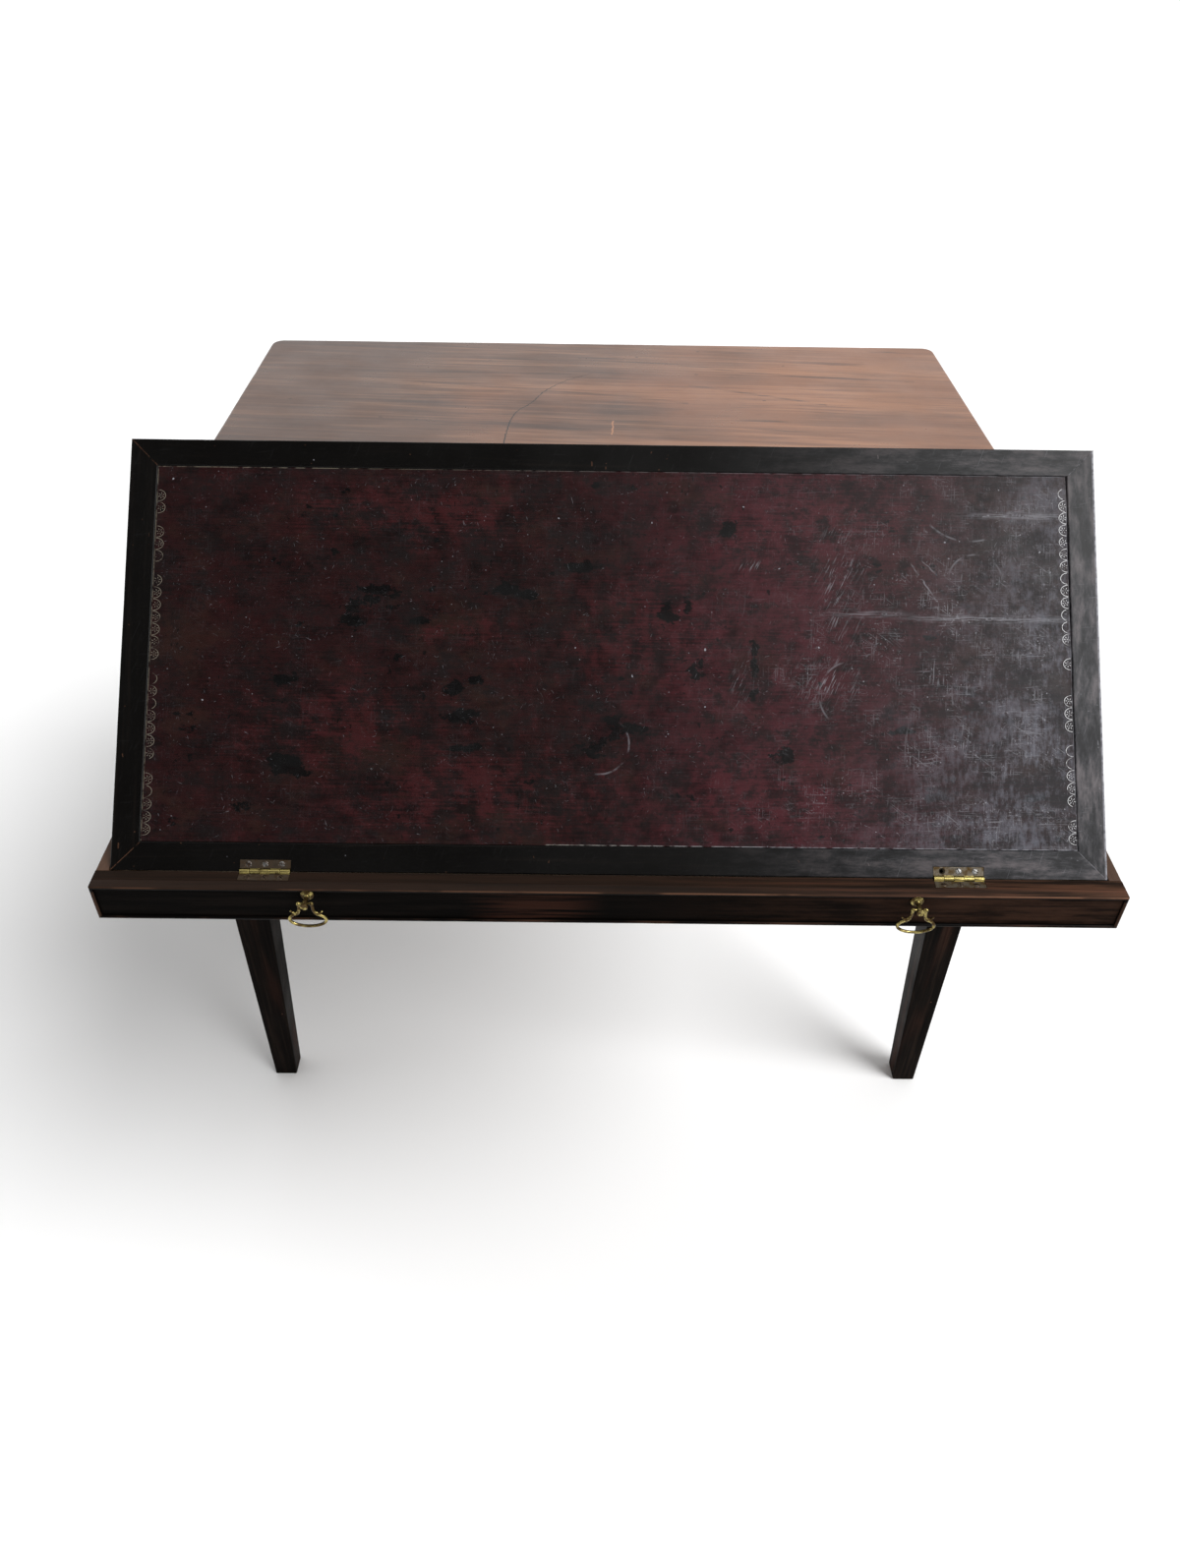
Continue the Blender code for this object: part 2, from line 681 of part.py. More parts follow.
def make_hinge_leaves(body_name, leaf_sign, mine, hinge_axis, host, brass):
    """Leaf, knuckles and recess of both hinges on one side of the axis, with their screw holes.

    leaf_sign is -1 for the drawer's leaf. The knuckles whose number is in mine belong to this
    leaf, and host is the wood that it is let into.
    """
    holes = []
    for place in hinge_places.values():
        for hole in (-1, 0, 1):
            x = place + hole * HINGE_SCREW_SPACING
            holes.append(screw_hole((x, leaf_sign * hinge_screw_line, 0.0), HINGE_HOLE_DEPTH, 1))
    screw_holes = cutter("hinge_%s_screw_holes" % body_name, holes, hinge_axis)
    cut(host, screw_holes)
    recess_depth = LEAF_THICKNESS + SEAT_GAP
    far = leaf_sign * LEAF_WIDTH
    clear = leaf_sign * leaf_root
    root = leaf_sign * (KNUCKLE_RADIUS + HINGE_PIN_RADIUS) / 2
    for side, place in hinge_places.items():
        start = place - HINGE_LENGTH / 2
        end = start + HINGE_LENGTH
        outline = [(start, far), (start, clear)]
        knuckles = []
        for index in mine:
            low = start + index * knuckle_length + SEAT_GAP / 2
            high = low + knuckle_length - SEAT_GAP
            outline += [(low, clear), (low, root), (high, root), (high, clear)]
            bore = HINGE_PIN_RADIUS + RUNNING_GAP
            knuckles.append(sleeve("X", low, high, KNUCKLE_RADIUS, bore, (0.0, 0.0, 0.0), FINE_SIDES))
        outline += [(end, clear), (end, far)]
        plate = prism("Z", outline, -LEAF_THICKNESS, 0.0)
        leaf = piece("hinge_%s_leaf_%s" % (body_name, side), [plate], hinge_axis, brass, smooth=True)
        combine(leaf, cutter("hinge_%s_knuckles_%s" % (body_name, side), knuckles, hinge_axis), "UNION")
        cut(leaf, screw_holes)
        recess_x = inset_span((start, end), -SEAT_GAP)
        edge = far + leaf_sign * SEAT_GAP
        past = -leaf_sign * CUTTER_SPARE
        profile = [(edge, CUTTER_SPARE), (edge, -recess_depth), (clear, -recess_depth), (clear, -leaf_root)]
        profile += [(past, -leaf_root), (past, CUTTER_SPARE)]
        recess = prism("X", profile, *recess_x)
        cut(host, cutter("hinge_%s_recess_%s" % (body_name, side), [recess], hinge_axis))


def make_hinge_pins(hinge_axis, steel):
    for side, place in hinge_places.items():
        low, high = inset_span((place, place), -HINGE_LENGTH / 2)
        pin = turned("X", [(low, HINGE_PIN_RADIUS), (high, HINGE_PIN_RADIUS)], (0.0, 0.0, 0.0), SMALL_SIDES)
        piece("hinge_pin_" + side, [pin], hinge_axis, steel, smooth=True)


# Writing slope: Y = 0 on the hinge axis, Z = 0 at its writing face


def make_slope(slope, wood, leather):
    """Core panel tongued into a mitred border, with a leather inset; returns front border and panel."""
    x = (-slope_half_width, slope_half_width)
    y = (HINGE_EDGE_GAP, SLOPE_LENGTH)
    tongue_low = -TONGUE_DEPTH - TONGUE_THICKNESS
    inner = SLOPE_BORDER - TONGUE_LENGTH - SEAT_GAP
    profile = [(0.0, -SLOPE_THICKNESS), (SLOPE_BORDER, -SLOPE_THICKNESS)]
    profile += [(SLOPE_BORDER, tongue_low - SEAT_GAP), (inner, tongue_low - SEAT_GAP)]
    profile += [(inner, SEAT_GAP - TONGUE_DEPTH), (SLOPE_BORDER, SEAT_GAP - TONGUE_DEPTH)]
    profile += [(SLOPE_BORDER, 0.0), (0.0, 0.0)]
    border = {}
    for side, body in mitred_frame("Z", x, y, profile).items():
        border[side] = piece("slope_border_" + side, [body], slope, wood)
    field_x = inset_span(x, SLOPE_BORDER + SEAT_GAP)
    field_y = inset_span(y, SLOPE_BORDER + SEAT_GAP)
    tongue_x = inset_span(field_x, -TONGUE_LENGTH)
    tongue_y = inset_span(field_y, -TONGUE_LENGTH)
    rings = [(-SLOPE_THICKNESS, field_x, field_y), (tongue_low, field_x, field_y)]
    rings += [(tongue_low, tongue_x, tongue_y), (-TONGUE_DEPTH, tongue_x, tongue_y)]
    rings += [(-TONGUE_DEPTH, field_x, field_y), (-leather_bed, field_x, field_y)]
    panel = piece("slope_panel", [stepped("Z", rings)], slope, wood)
    leather_z = (-LEATHER_SINK - LEATHER_THICKNESS, -LEATHER_SINK)
    piece("leather_inset", [block(field_x, field_y, leather_z)], slope, leather)
    return border["front"], panel


def make_prop_brackets(slope, panel, prop_pins, brass):
    """Angle brackets screwed under the slope, with the bores in which the prop turns."""
    y = inset_span((PROP_REACH, PROP_REACH), -BRACKET_LENGTH / 2)
    high = -SLOPE_THICKNESS - SEAT_GAP
    plate_low = high - BRACKET_THICKNESS
    lug_low = -prop_pivot_drop - PROP_PIN_RADIUS - RUNNING_GAP - BRACKET_WALL
    holes = []
    brackets = []
    for side, sign in SIDES:
        lug = sign * (prop_half_width + BRACKET_SIDE_GAP)
        wall = lug + sign * BRACKET_THICKNESS
        end = wall + sign * BRACKET_PLATE_WIDTH
        outline = [(lug, high), (lug, lug_low), (wall, lug_low)]
        outline += [(wall, plate_low), (end, plate_low), (end, high)]
        bracket = piece("prop_bracket_" + side, [prism("Y", outline, *y)], slope, brass)
        cut(bracket, prop_pins)
        brackets.append(bracket)
        for offset in (-1, 1):
            centre = ((wall + end) / 2, PROP_REACH + offset * BRACKET_SCREW_SPACING / 2, plate_low)
            holes.append(screw_hole(centre, BRACKET_HOLE_DEPTH, -1))
    screw_holes = cutter("prop_bracket_screw_holes", holes, slope)
    for thing in brackets + [panel]:
        cut(thing, screw_holes)


# Prop: Y = 0 on its pivot axis, Y running to its foot


def make_prop(prop, wood, steel):
    """Lapped frame with round ends; returns the cutter for the pivot bores."""
    half = PROP_THICKNESS / 2
    x = (-prop_half_width, prop_half_width)
    nose = arc((0.0, 0.0), half, math.pi / 2, 3 * math.pi / 2, PROP_NOSE_STEPS)
    head = nose + [(PROP_RAIL_WIDTH, -half), (PROP_RAIL_WIDTH, half)]
    foot = [(prop_length - u, v) for u, v in head]
    pivot_rail = piece("prop_pivot_rail", [prism("X", head, *x)], prop, wood)
    foot_bar = piece("prop_foot_bar", [prism("X", foot, *x)], prop, wood)
    body_y = inset_span((PROP_RAIL_WIDTH, prop_length - PROP_RAIL_WIDTH), SEAT_GAP)
    lap_y = inset_span((PROP_RAIL_WIDTH, prop_length - PROP_RAIL_WIDTH), -PROP_LAP)
    whole = (-half, half)
    lap_z = (-half, -SEAT_GAP / 2)
    for side, sign in SIDES:
        centre = sign * (prop_half_width - PROP_STILE_INSET)
        stile_x = inset_span((centre, centre), -PROP_STILE_WIDTH / 2)
        rings = [(lap_y[0], stile_x, lap_z), (body_y[0], stile_x, lap_z), (body_y[0], stile_x, whole)]
        rings += [(body_y[1], stile_x, whole), (body_y[1], stile_x, lap_z), (lap_y[1], stile_x, lap_z)]
        piece("prop_stile_" + side, [stepped("Y", rings)], prop, wood)
        notch_z = (-half - CUTTER_SPARE, SEAT_GAP / 2)
        notch = block(inset_span(stile_x, -SEAT_GAP), inset_span(lap_y, -SEAT_GAP), notch_z)
        notches = cutter("prop_lap_notches_" + side, [notch], prop)
        cut(pivot_rail, notches)
        cut(foot_bar, notches)
    bores = []
    for side, sign in SIDES:
        end = sign * prop_half_width
        inner = end - sign * PROP_PIN_DEPTH
        outer = end + sign * (BRACKET_SIDE_GAP + BRACKET_THICKNESS)
        low, high = span(inner, outer)
        pin = turned("X", [(low, PROP_PIN_RADIUS), (high, PROP_PIN_RADIUS)], (0, 0, 0), SMALL_SIDES)
        piece("prop_pivot_pin_" + side, [pin], prop, steel, smooth=True)
        bore = PROP_PIN_RADIUS + RUNNING_GAP
        bore_low, bore_high = span(inner - sign * SEAT_GAP, outer + sign * CUTTER_SPARE)
        bores.append(turned("X", [(bore_low, bore), (bore_high, bore)], (0, 0, 0), SMALL_SIDES))
    pin_bores = cutter("prop_pin_bores", bores, prop)
    cut(pivot_rail, pin_bores)
    return pin_bores


# Handles


def post_profile():
    """Turned post from the knob's outer face to the end of its shank; along is -Y outwards."""
    knob_back = POST_KNOB_THICKNESS - POST_LENGTH
    return [
        (-POST_LENGTH, POST_KNOB_RADIUS - POST_KNOB_ROUND),
        (POST_KNOB_ROUND - POST_LENGTH, POST_KNOB_RADIUS),
        (knob_back, POST_KNOB_RADIUS),
        (knob_back + POST_KNOB_ROUND, POST_BOSS_RADIUS),
        (POST_BOSS_RADIUS / 2 - PIVOT_REACH, POST_BOSS_RADIUS),
        (-POST_NECK_REACH, POST_NECK_RADIUS),
        (-ROSE_THICKNESS - POST_KNOB_ROUND, POST_BOSS_RADIUS),
        (-ROSE_THICKNESS, ROSE_RADIUS - POST_KNOB_ROUND),
        (POST_KNOB_ROUND - ROSE_THICKNESS, ROSE_RADIUS),
        (-SEAT_GAP, ROSE_RADIUS),
        (-SEAT_GAP, POST_SHANK_RADIUS),
        (DRAWER_FRONT_THICKNESS - SEAT_GAP, POST_SHANK_RADIUS),
    ]


def bail_half():
    """Right half of the bail's wire, from its pin to the bottom of the loop, with radii."""
    loop_half_width = BAIL_WIDTH / 2 - BAIL_WIRE_RADIUS
    loop_half_height = BAIL_LOOP_HEIGHT / 2
    loop_centre = -BAIL_DROP + BAIL_WIRE_RADIUS + loop_half_height
    spread_x = BAIL_ARM_SPREAD

    def on_loop(turn):
        height = loop_centre + loop_half_height * math.sin(turn)
        return Vector((loop_half_width * math.cos(turn), 0.0, height))

    turn = BAIL_LOOP_OPENING
    top = on_loop(turn)
    heading = Vector((-loop_half_width * math.sin(turn), 0.0, loop_half_height * math.cos(turn))).normalized()
    shoulder = Vector((spread_x, 0.0, -BAIL_WIRE_RADIUS))
    arm_height = shoulder.z - top.z
    arm = bezier(
        shoulder,
        shoulder - Vector((0.0, 0.0, arm_height / 2)),
        top + heading * (arm_height / 4),
        top,
        BAIL_ARM_STEPS,
    )
    turns = [turn + (-math.pi / 2 - turn) * step / BAIL_LOOP_STEPS for step in range(1, BAIL_LOOP_STEPS + 1)]
    loop = [on_loop(t) for t in turns]
    pin_outer = spread_x - 2 * BAIL_WIRE_RADIUS
    pin = [Vector((BAIL_PIN_INNER, 0.0, 0.0)), Vector((pin_outer, 0.0, 0.0))]
    elbow = [Vector((spread_x - BAIL_WIRE_RADIUS, 0.0, 0.0))]
    path = pin + elbow + arm + loop
    radii = [BAIL_PIN_RADIUS, BAIL_PIN_RADIUS] + [BAIL_WIRE_RADIUS] * (len(elbow) + len(arm) + len(loop))
    root = arm[len(arm) // 2]
    tip = Vector((SPUR_REACH, 0.0, -SPUR_DROP))
    sag = Vector((0.0, 0.0, -SPUR_SAG))
    third = (tip - root) / 3
    spur = bezier(root, root + third + sag, tip - third + sag, tip, SPUR_STEPS)
    thinning = (BAIL_WIRE_RADIUS - SPUR_TIP_RADIUS) / (SPUR_STEPS + 1)
    spur_radii = [BAIL_WIRE_RADIUS - thinning * (step + 1) for step in range(SPUR_STEPS + 1)]
    return path, radii, spur, spur_radii


def mirrored(path):
    return [Vector((-point.x, point.y, point.z)) for point in path]


def make_bail(name, pivot, brass):
    path, radii, spur, spur_radii = bail_half()
    whole = path + list(reversed(mirrored(path)))[1:]
    whole_radii = radii + list(reversed(radii))[1:]
    bail = piece(name, [tube(whole, whole_radii, WIRE_SIDES)], pivot, brass, smooth=True)
    spurs = [tube(spur, spur_radii, WIRE_SIDES), tube(mirrored(spur), spur_radii, WIRE_SIDES)]
    combine(bail, cutter(name + "_spurs", spurs, pivot), "UNION")


def make_handles(drawer, front, top_bead, brass, steel):
    """Posts let through the drawer front with nuts inside, and the bails that swing on them."""
    nut_y = (DRAWER_FRONT_THICKNESS - SEAT_GAP - NUT_THICKNESS, DRAWER_FRONT_THICKNESS - SEAT_GAP)
    recess_y = (DRAWER_FRONT_THICKNESS - NUT_RECESS, DRAWER_FRONT_THICKNESS + CUTTER_SPARE)
    bore = POST_SHANK_RADIUS + SEAT_GAP
    nuts = []
    shanks = []
    recesses = []
    roses = []
    for side, place in handle_places.items():
        centre = Vector((place, 0.0, -HANDLE_DROP))
        turning = turned("Y", post_profile(), centre, FINE_SIDES)
        post = piece("handle_post_" + side, [turning], drawer, brass, smooth=True)
        pivot = centre + Vector((0.0, -PIVOT_REACH, 0.0))
        hole = BAIL_PIN_RADIUS + RUNNING_GAP
        through = POST_BOSS_RADIUS + CUTTER_SPARE
        eye = turned("X", [(-through, hole), (through, hole)], pivot, SMALL_SIDES)
        cut(post, cutter("bail_eye_" + side, [eye], drawer))
        x = (centre.x, centre.x)
        z = (centre.z, centre.z)
        half = NUT_SQUARE / 2
        nut = block(inset_span(x, -half), nut_y, inset_span(z, -half))
        nuts.append(piece("handle_nut_" + side, [nut], drawer, steel))
        wide = half + SEAT_GAP
        recesses.append(block(inset_span(x, -wide), recess_y, inset_span(z, -wide)))
        ends = (-CUTTER_SPARE, DRAWER_FRONT_THICKNESS + CUTTER_SPARE)
        shanks.append(turned("Y", [(ends[0], bore), (ends[1], bore)], centre, SMALL_SIDES))
        rose = ROSE_RADIUS + SEAT_GAP
        rose_y = (-BEAD_PROUD - CUTTER_SPARE, 0.0)
        roses.append(turned("Y", [(rose_y[0], rose), (rose_y[1], rose)], centre, FINE_SIDES))
        make_bail("bail_" + side, frame("bail_%s_pivot" % side, pivot, drawer), brass)
    shank_holes = cutter("handle_shank_holes", shanks, drawer)
    cut(front, shank_holes)
    cut(front, cutter("handle_nut_recesses", recesses, drawer))
    cut(top_bead, cutter("rose_notches", roses, drawer))
    for nut in nuts:
        cut(nut, shank_holes)


def main():
    remove_everything()
    top_wood = finish("mahogany_top", (0.16, 0.065, 0.035), 0.35)
    dark_wood = finish("mahogany_dark", (0.035, 0.016, 0.012), 0.4)
    lining = finish("oak_lining", (0.22, 0.13, 0.07), 0.6)
    leather = finish("oxblood_leather", (0.055, 0.012, 0.014), 0.45)
    brass = finish("aged_brass", (0.48, 0.37, 0.16), 0.35, 1.0)
    dull_brass = finish("tarnished_brass", (0.24, 0.21, 0.17), 0.5, 1.0)
    steel = finish("screw_steel", (0.32, 0.32, 0.31), 0.45, 1.0)

    carcass = frame("carcass_frame", (0.0, leg_face_y, 0.0))
    make_table_top(carcass, top_wood)
    legs = make_legs(carcass, dark_wood)
    rails = make_rails(carcass, dark_wood, legs)
    make_drawer_ways(carcass, lining, rails)
    make_glue_strips(carcass, lining)

    drawer = frame("drawer_frame", (0.0, -DRAWER_PULLED_OUT, drawer_top), carcass)
    front = make_drawer_box(drawer, dark_wood, lining)
    top_bead = make_cock_beads(drawer, dark_wood)
    make_racks(drawer, lining)
    make_handles(drawer, front, top_bead, brass, steel)

    hinge_axis = frame("hinge_axis", (0.0, hinge_inset, 0.0), drawer)
    slope = frame("slope_frame", (0.0, hinge_inset, 0.0), drawer, REST_TILT)
    front_border, panel = make_slope(slope, dark_wood, leather)
    odd = [index for index in range(KNUCKLE_COUNT) if index % 2 == 1]
    even = [index for index in range(KNUCKLE_COUNT) if index % 2 == 0]
    make_hinge_leaves("lower", -1, even, hinge_axis, front, dull_brass)
    make_hinge_leaves("upper", 1, odd, slope, front_border, dull_brass)
    make_hinge_pins(hinge_axis, steel)

    prop = frame("prop_pivot", (0.0, PROP_REACH, -prop_pivot_drop), slope, -2 * REST_TILT)
    pin_bores = make_prop(prop, lining, steel)
    make_prop_brackets(slope, panel, pin_bores, dull_brass)
    bpy.context.view_layer.update()


main()
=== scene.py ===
"""Architect's desk: the finish of every piece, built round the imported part.

Laid out as a Blender add-on and run as a script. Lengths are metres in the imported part's frame:
X to the right, Y to the back, Z up, the floor at Z = 0.
"""

import json
import math
import random

import bmesh
import bpy
from bpy.props import FloatProperty, FloatVectorProperty, IntProperty, PointerProperty
from bpy.types import NodeSocket, Operator, Panel, PropertyGroup
from mathutils import Matrix, Vector, noise

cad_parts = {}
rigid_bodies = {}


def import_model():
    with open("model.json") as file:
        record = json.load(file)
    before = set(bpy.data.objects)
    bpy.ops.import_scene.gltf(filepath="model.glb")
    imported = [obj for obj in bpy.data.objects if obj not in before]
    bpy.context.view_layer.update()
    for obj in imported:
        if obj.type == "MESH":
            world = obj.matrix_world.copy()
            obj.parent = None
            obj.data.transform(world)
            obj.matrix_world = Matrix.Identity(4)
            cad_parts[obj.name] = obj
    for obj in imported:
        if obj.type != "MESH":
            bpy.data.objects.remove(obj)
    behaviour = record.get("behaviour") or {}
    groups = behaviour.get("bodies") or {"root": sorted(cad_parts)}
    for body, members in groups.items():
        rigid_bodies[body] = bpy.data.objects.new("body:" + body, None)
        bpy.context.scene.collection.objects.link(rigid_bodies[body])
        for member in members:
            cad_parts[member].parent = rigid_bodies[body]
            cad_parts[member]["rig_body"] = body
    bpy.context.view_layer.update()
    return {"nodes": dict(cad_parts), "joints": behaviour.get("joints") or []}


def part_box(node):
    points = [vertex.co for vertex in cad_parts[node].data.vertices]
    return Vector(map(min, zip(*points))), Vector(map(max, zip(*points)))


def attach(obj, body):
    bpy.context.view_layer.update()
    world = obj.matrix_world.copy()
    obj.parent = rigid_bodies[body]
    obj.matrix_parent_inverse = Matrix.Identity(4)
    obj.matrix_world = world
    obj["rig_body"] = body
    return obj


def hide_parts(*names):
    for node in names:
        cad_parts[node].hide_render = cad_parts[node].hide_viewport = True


bl_info = {
    "name": "Architect's Desk",
    "version": (1, 0, 0),
    "blender": (4, 5, 0),
    "location": "3D View > Sidebar > Desk",
    "description": "Finishes the pieces of an architect's desk and sets up its studio",
    "category": "Object",
}

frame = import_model()
joints = {joint["name"]: joint for joint in frame["joints"]}

SIDES = ("left", "right")
SIDE_SIGNS = (("left", -1), ("right", 1))
X_AXIS = Vector((1.0, 0.0, 0.0))
Y_AXIS = Vector((0.0, 1.0, 0.0))
Z_AXIS = Vector((0.0, 0.0, 1.0))
QUARTER_TURN = math.pi / 2.0
FULL_TURN = math.pi * 2.0

# The slope's own frame: Y = 0 on the hinge line, Z = 0 at the writing face
slope_tilt = math.radians(-joints["slope_tilt"]["range_deg"][0])
slope_origin = Vector(joints["slope_tilt"]["pos_m"])
slope_frame = Matrix.Translation(slope_origin) @ Matrix.Rotation(slope_tilt, 4, "X")
up_the_slope = slope_frame.to_3x3() @ Y_AXIS
hinge_frame = Matrix.Translation(slope_origin)


def corners_in_slope(node):
    """The corners of a node's solid in the slope's frame."""
    return [slope_frame.inverted() @ vertex.co for vertex in frame["nodes"][node].data.vertices]


slope_half_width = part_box("slope_border_right")[1].x
slope_length = max(corner.y for corner in corners_in_slope("slope_border_back"))
table_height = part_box("table_top")[1].z
drawer_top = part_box("cock_bead_top")[1].z
drawer_side_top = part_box("drawer_side_left")[1].z
front_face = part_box("drawer_front")[0].y

# Properties that a user may change


def colour_property(name, description, default):
    return FloatVectorProperty(
        name=name, description=description, default=default, subtype="COLOR", size=3, min=0.0, max=1.0
    )


def length_property(name, description, default):
    return FloatProperty(
        name=name,
        description=description,
        default=default,
        min=0.0,
        precision=5,
        unit="LENGTH",
        subtype="DISTANCE",
    )


def angle_property(name, description, degrees):
    return FloatProperty(
        name=name, description=description, default=math.radians(degrees), unit="ROTATION", subtype="ANGLE"
    )


class DeskSizes(PropertyGroup):
    """Small sizes of wear, tooling and metalwork"""

    arris: length_property("Arris", "Rounding of the wooden arrises", 0.0008)
    rub: length_property("Rub", "Deepest wear of a wooden arris", 0.00035)
    run: length_property("Run", "Length of board between two sections", 0.010)
    top_edge: length_property("Top edge", "Rounding of the table top's edge", 0.004)
    top_corner: length_property("Top corner", "Radius of the table top's corners", 0.016)
    top_hollow: length_property("Top hollow", "How far the table top has moved out of flat", 0.0003)
    hide_step: length_property("Hide step", "Spacing of the leather's mesh", 0.0020)
    hide_lip: length_property("Hide lip", "Width of the leather's pale cut edge", 0.0008)
    hide_cockle: length_property("Hide cockle", "Height of the leather's waves", 0.00022)
    shrink_gap: length_property("Shrink gap", "Widest gap at the leather's right edge", 0.0014)
    glue_depth: length_property("Glue depth", "How far the glue lies below the faces round a mitre", 0.0003)
    scallop: length_property("Scallop", "Spacing of the tooled scallops", 0.0096)
    tool_line: length_property("Tool line", "Width of a tooled line", 0.00062)
    wire: length_property("Wire", "Radius of a bail's wire", 0.0012)
    screw_head: length_property("Screw head", "Radius of a screw's head", 0.0023)
    turning_sides: IntProperty(
        name="Turning sides", description="Flats round a turned piece", default=40, min=12
    )


class DeskColours(PropertyGroup):
    """Colours of the finishes"""

    top_dark: colour_property("Top dark", "Dark streaks of the table top", (0.062, 0.033, 0.023))
    top_middle: colour_property("Top middle", "Ground of the table top", (0.130, 0.066, 0.041))
    top_light: colour_property("Top light", "Pale fibres of the table top", (0.250, 0.132, 0.078))
    # Pale colour laid over the right end of the table top.
    top_pale_end: colour_property("Top faded", "Sun-faded end of the table top", (0.365, 0.172, 0.090))
    top_red: colour_property("Top red", "Red patches of the table top", (0.270, 0.115, 0.060))
    old_dark: colour_property("Old dark", "Darkest part of the old polish", (0.0017, 0.0014, 0.0012))
    old_middle: colour_property("Old middle", "Ground of the old polish", (0.0046, 0.0034, 0.0028))
    old_light: colour_property("Old light", "Where the old polish is thin", (0.0130, 0.0085, 0.0064))
    old_red: colour_property("Old red", "Red wood showing through the old polish", (0.070, 0.026, 0.016))
    old_brown: colour_property("Old brown", "Brown wood of the drawer's ledge", (0.060, 0.029, 0.018))
    bare: colour_property("Bare", "Rubbed arrises of the dark mahogany", (0.150, 0.072, 0.042))
    oak_dark: colour_property("Oak dark", "Dark grain of the oak", (0.050, 0.029, 0.016))
    oak_middle: colour_property("Oak middle", "Ground of the oak", (0.130, 0.080, 0.044))
    oak_light: colour_property("Oak light", "Pale grain of the oak", (0.225, 0.150, 0.090))
    hide_dark: colour_property("Hide dark", "Darkened parts of the leather", (0.0056, 0.0032, 0.0033))
    hide_middle: colour_property("Hide middle", "Ground of the leather", (0.0145, 0.0046, 0.0048))
    hide_red: colour_property("Hide red", "Rubbed red parts of the leather", (0.0330, 0.0078, 0.0086))
    hide_brown: colour_property("Hide brown", "Brown and waxy parts of the leather", (0.0230, 0.0105, 0.0080))
    hide_pale: colour_property("Hide pale", "Scuffs and scratches of the leather", (0.300, 0.300, 0.330))
    # Cool pale colour on the right of the leather: partly a film of wear, partly a painted sheen.
    hide_film_and_sheen: colour_property("Hide film", "Cool film of wear on the leather", (0.140, 0.144, 0.172))
    hide_sunned: colour_property("Hide sunned", "Leather that the light has reddened", (0.075, 0.016, 0.023))
    ink: colour_property("Ink", "Ink stains", (0.0018, 0.0019, 0.0020))
    gilt: colour_property("Gilt", "What is left of the gilding", (0.260, 0.235, 0.180))
    # Pale colour of the tooled lines on the right: a painted highlight, the glint of the tooling there.
    gilt_highlight: colour_property("Gilt pale", "Gilding rubbed down to its white ground", (0.560, 0.560, 0.570))
    brass: colour_property("Brass", "Polished brass", (0.370, 0.305, 0.110))
    bronze: colour_property("Bronze", "Brown patina on the brass", (0.060, 0.037, 0.014))
    tarnish: colour_property("Tarnish", "Dull grey tarnish on the brass", (0.105, 0.090, 0.070))
    steel: colour_property("Steel", "Bare steel", (0.260, 0.258, 0.250))
    rust: colour_property("Rust", "Rust and old polish on steel", (0.060, 0.040, 0.028))


class DeskStudio(PropertyGroup):
    """Camera, light and floor"""

    camera_place: FloatVectorProperty(
        name="Camera place",
        description="Where the camera stands",
        default=(-0.02026, -1.10703, 1.34755),
        subtype="TRANSLATION",
        unit="LENGTH",
    )
    camera_pitch: angle_property("Camera pitch", "How far the camera looks down", 39.929)
    camera_roll: angle_property("Camera roll", "How far the camera leans", 0.877)
    camera_yaw: angle_property("Camera yaw", "How far the camera is turned to the right", 0.395)
    camera_lens: FloatProperty(
        name="Camera lens", description="Focal length in mm, on a 36 mm frame", default=26.482, min=1.0
    )
    key_turn: angle_property("Key turn", "Direction of the key light, from the right towards the front", 30.0)
    key_height: angle_property("Key height", "Height of the key light above the horizon", 50.0)
    key_spread: angle_property("Key spread", "Apparent width of the key light", 32.0)
    key_strength: FloatProperty(
        name="Key strength", description="Strength of the key light", default=2.95, min=0.0
    )
    screen_height: angle_property("Screen height", "Height of the dark screen above the camera", 56.0)
    screen_inner: angle_property("Screen inner", "Half the height of the screen's dark middle", 24.0)
    screen_outer: angle_property("Screen outer", "Half the height at which the screen has faded out", 36.0)
    screen_narrow: FloatProperty(
        name="Screen narrow", description="Height of the screen as a share of its width", default=0.5, min=0.1
    )
    fill: FloatProperty(
        name="Fill",
        description="Share of the surround's light that falls on surfaces",
        default=0.74,
        min=0.0,
        max=1.0,
    )
    wall: colour_property("Wall", "White surround", (1.0, 1.0, 1.0))
    screen: colour_property("Screen", "Dark screen", (0.02, 0.02, 0.02))
    floor: colour_property("Floor", "Pale floor", (0.97, 0.97, 0.97))
    floor_reach: length_property("Floor reach", "Half the width of the floor", 60.0)


# Materials

# Sockets of a mix node that mixes colours
MIX_SHARE = 0
MIX_UNDER = 6
MIX_OVER = 7
MIX_RESULT = 2

# How marks begin, end and wander
SPECK_CORE = 0.5
SPECK_CHOICE = 0.02
STROKE_SWAY = (30.0, 30.0, 30.0)
STROKE_SWAY_REACH = 0.006
STROKE_SOFTNESS = 0.07
LINE_CORE = 0.4
RING_START = 0.1
RING_FULL = 0.6
WANDER_PER_METRE = 160.0
WANDER_REACH = 0.004
HAIRLINE_END = 0.002


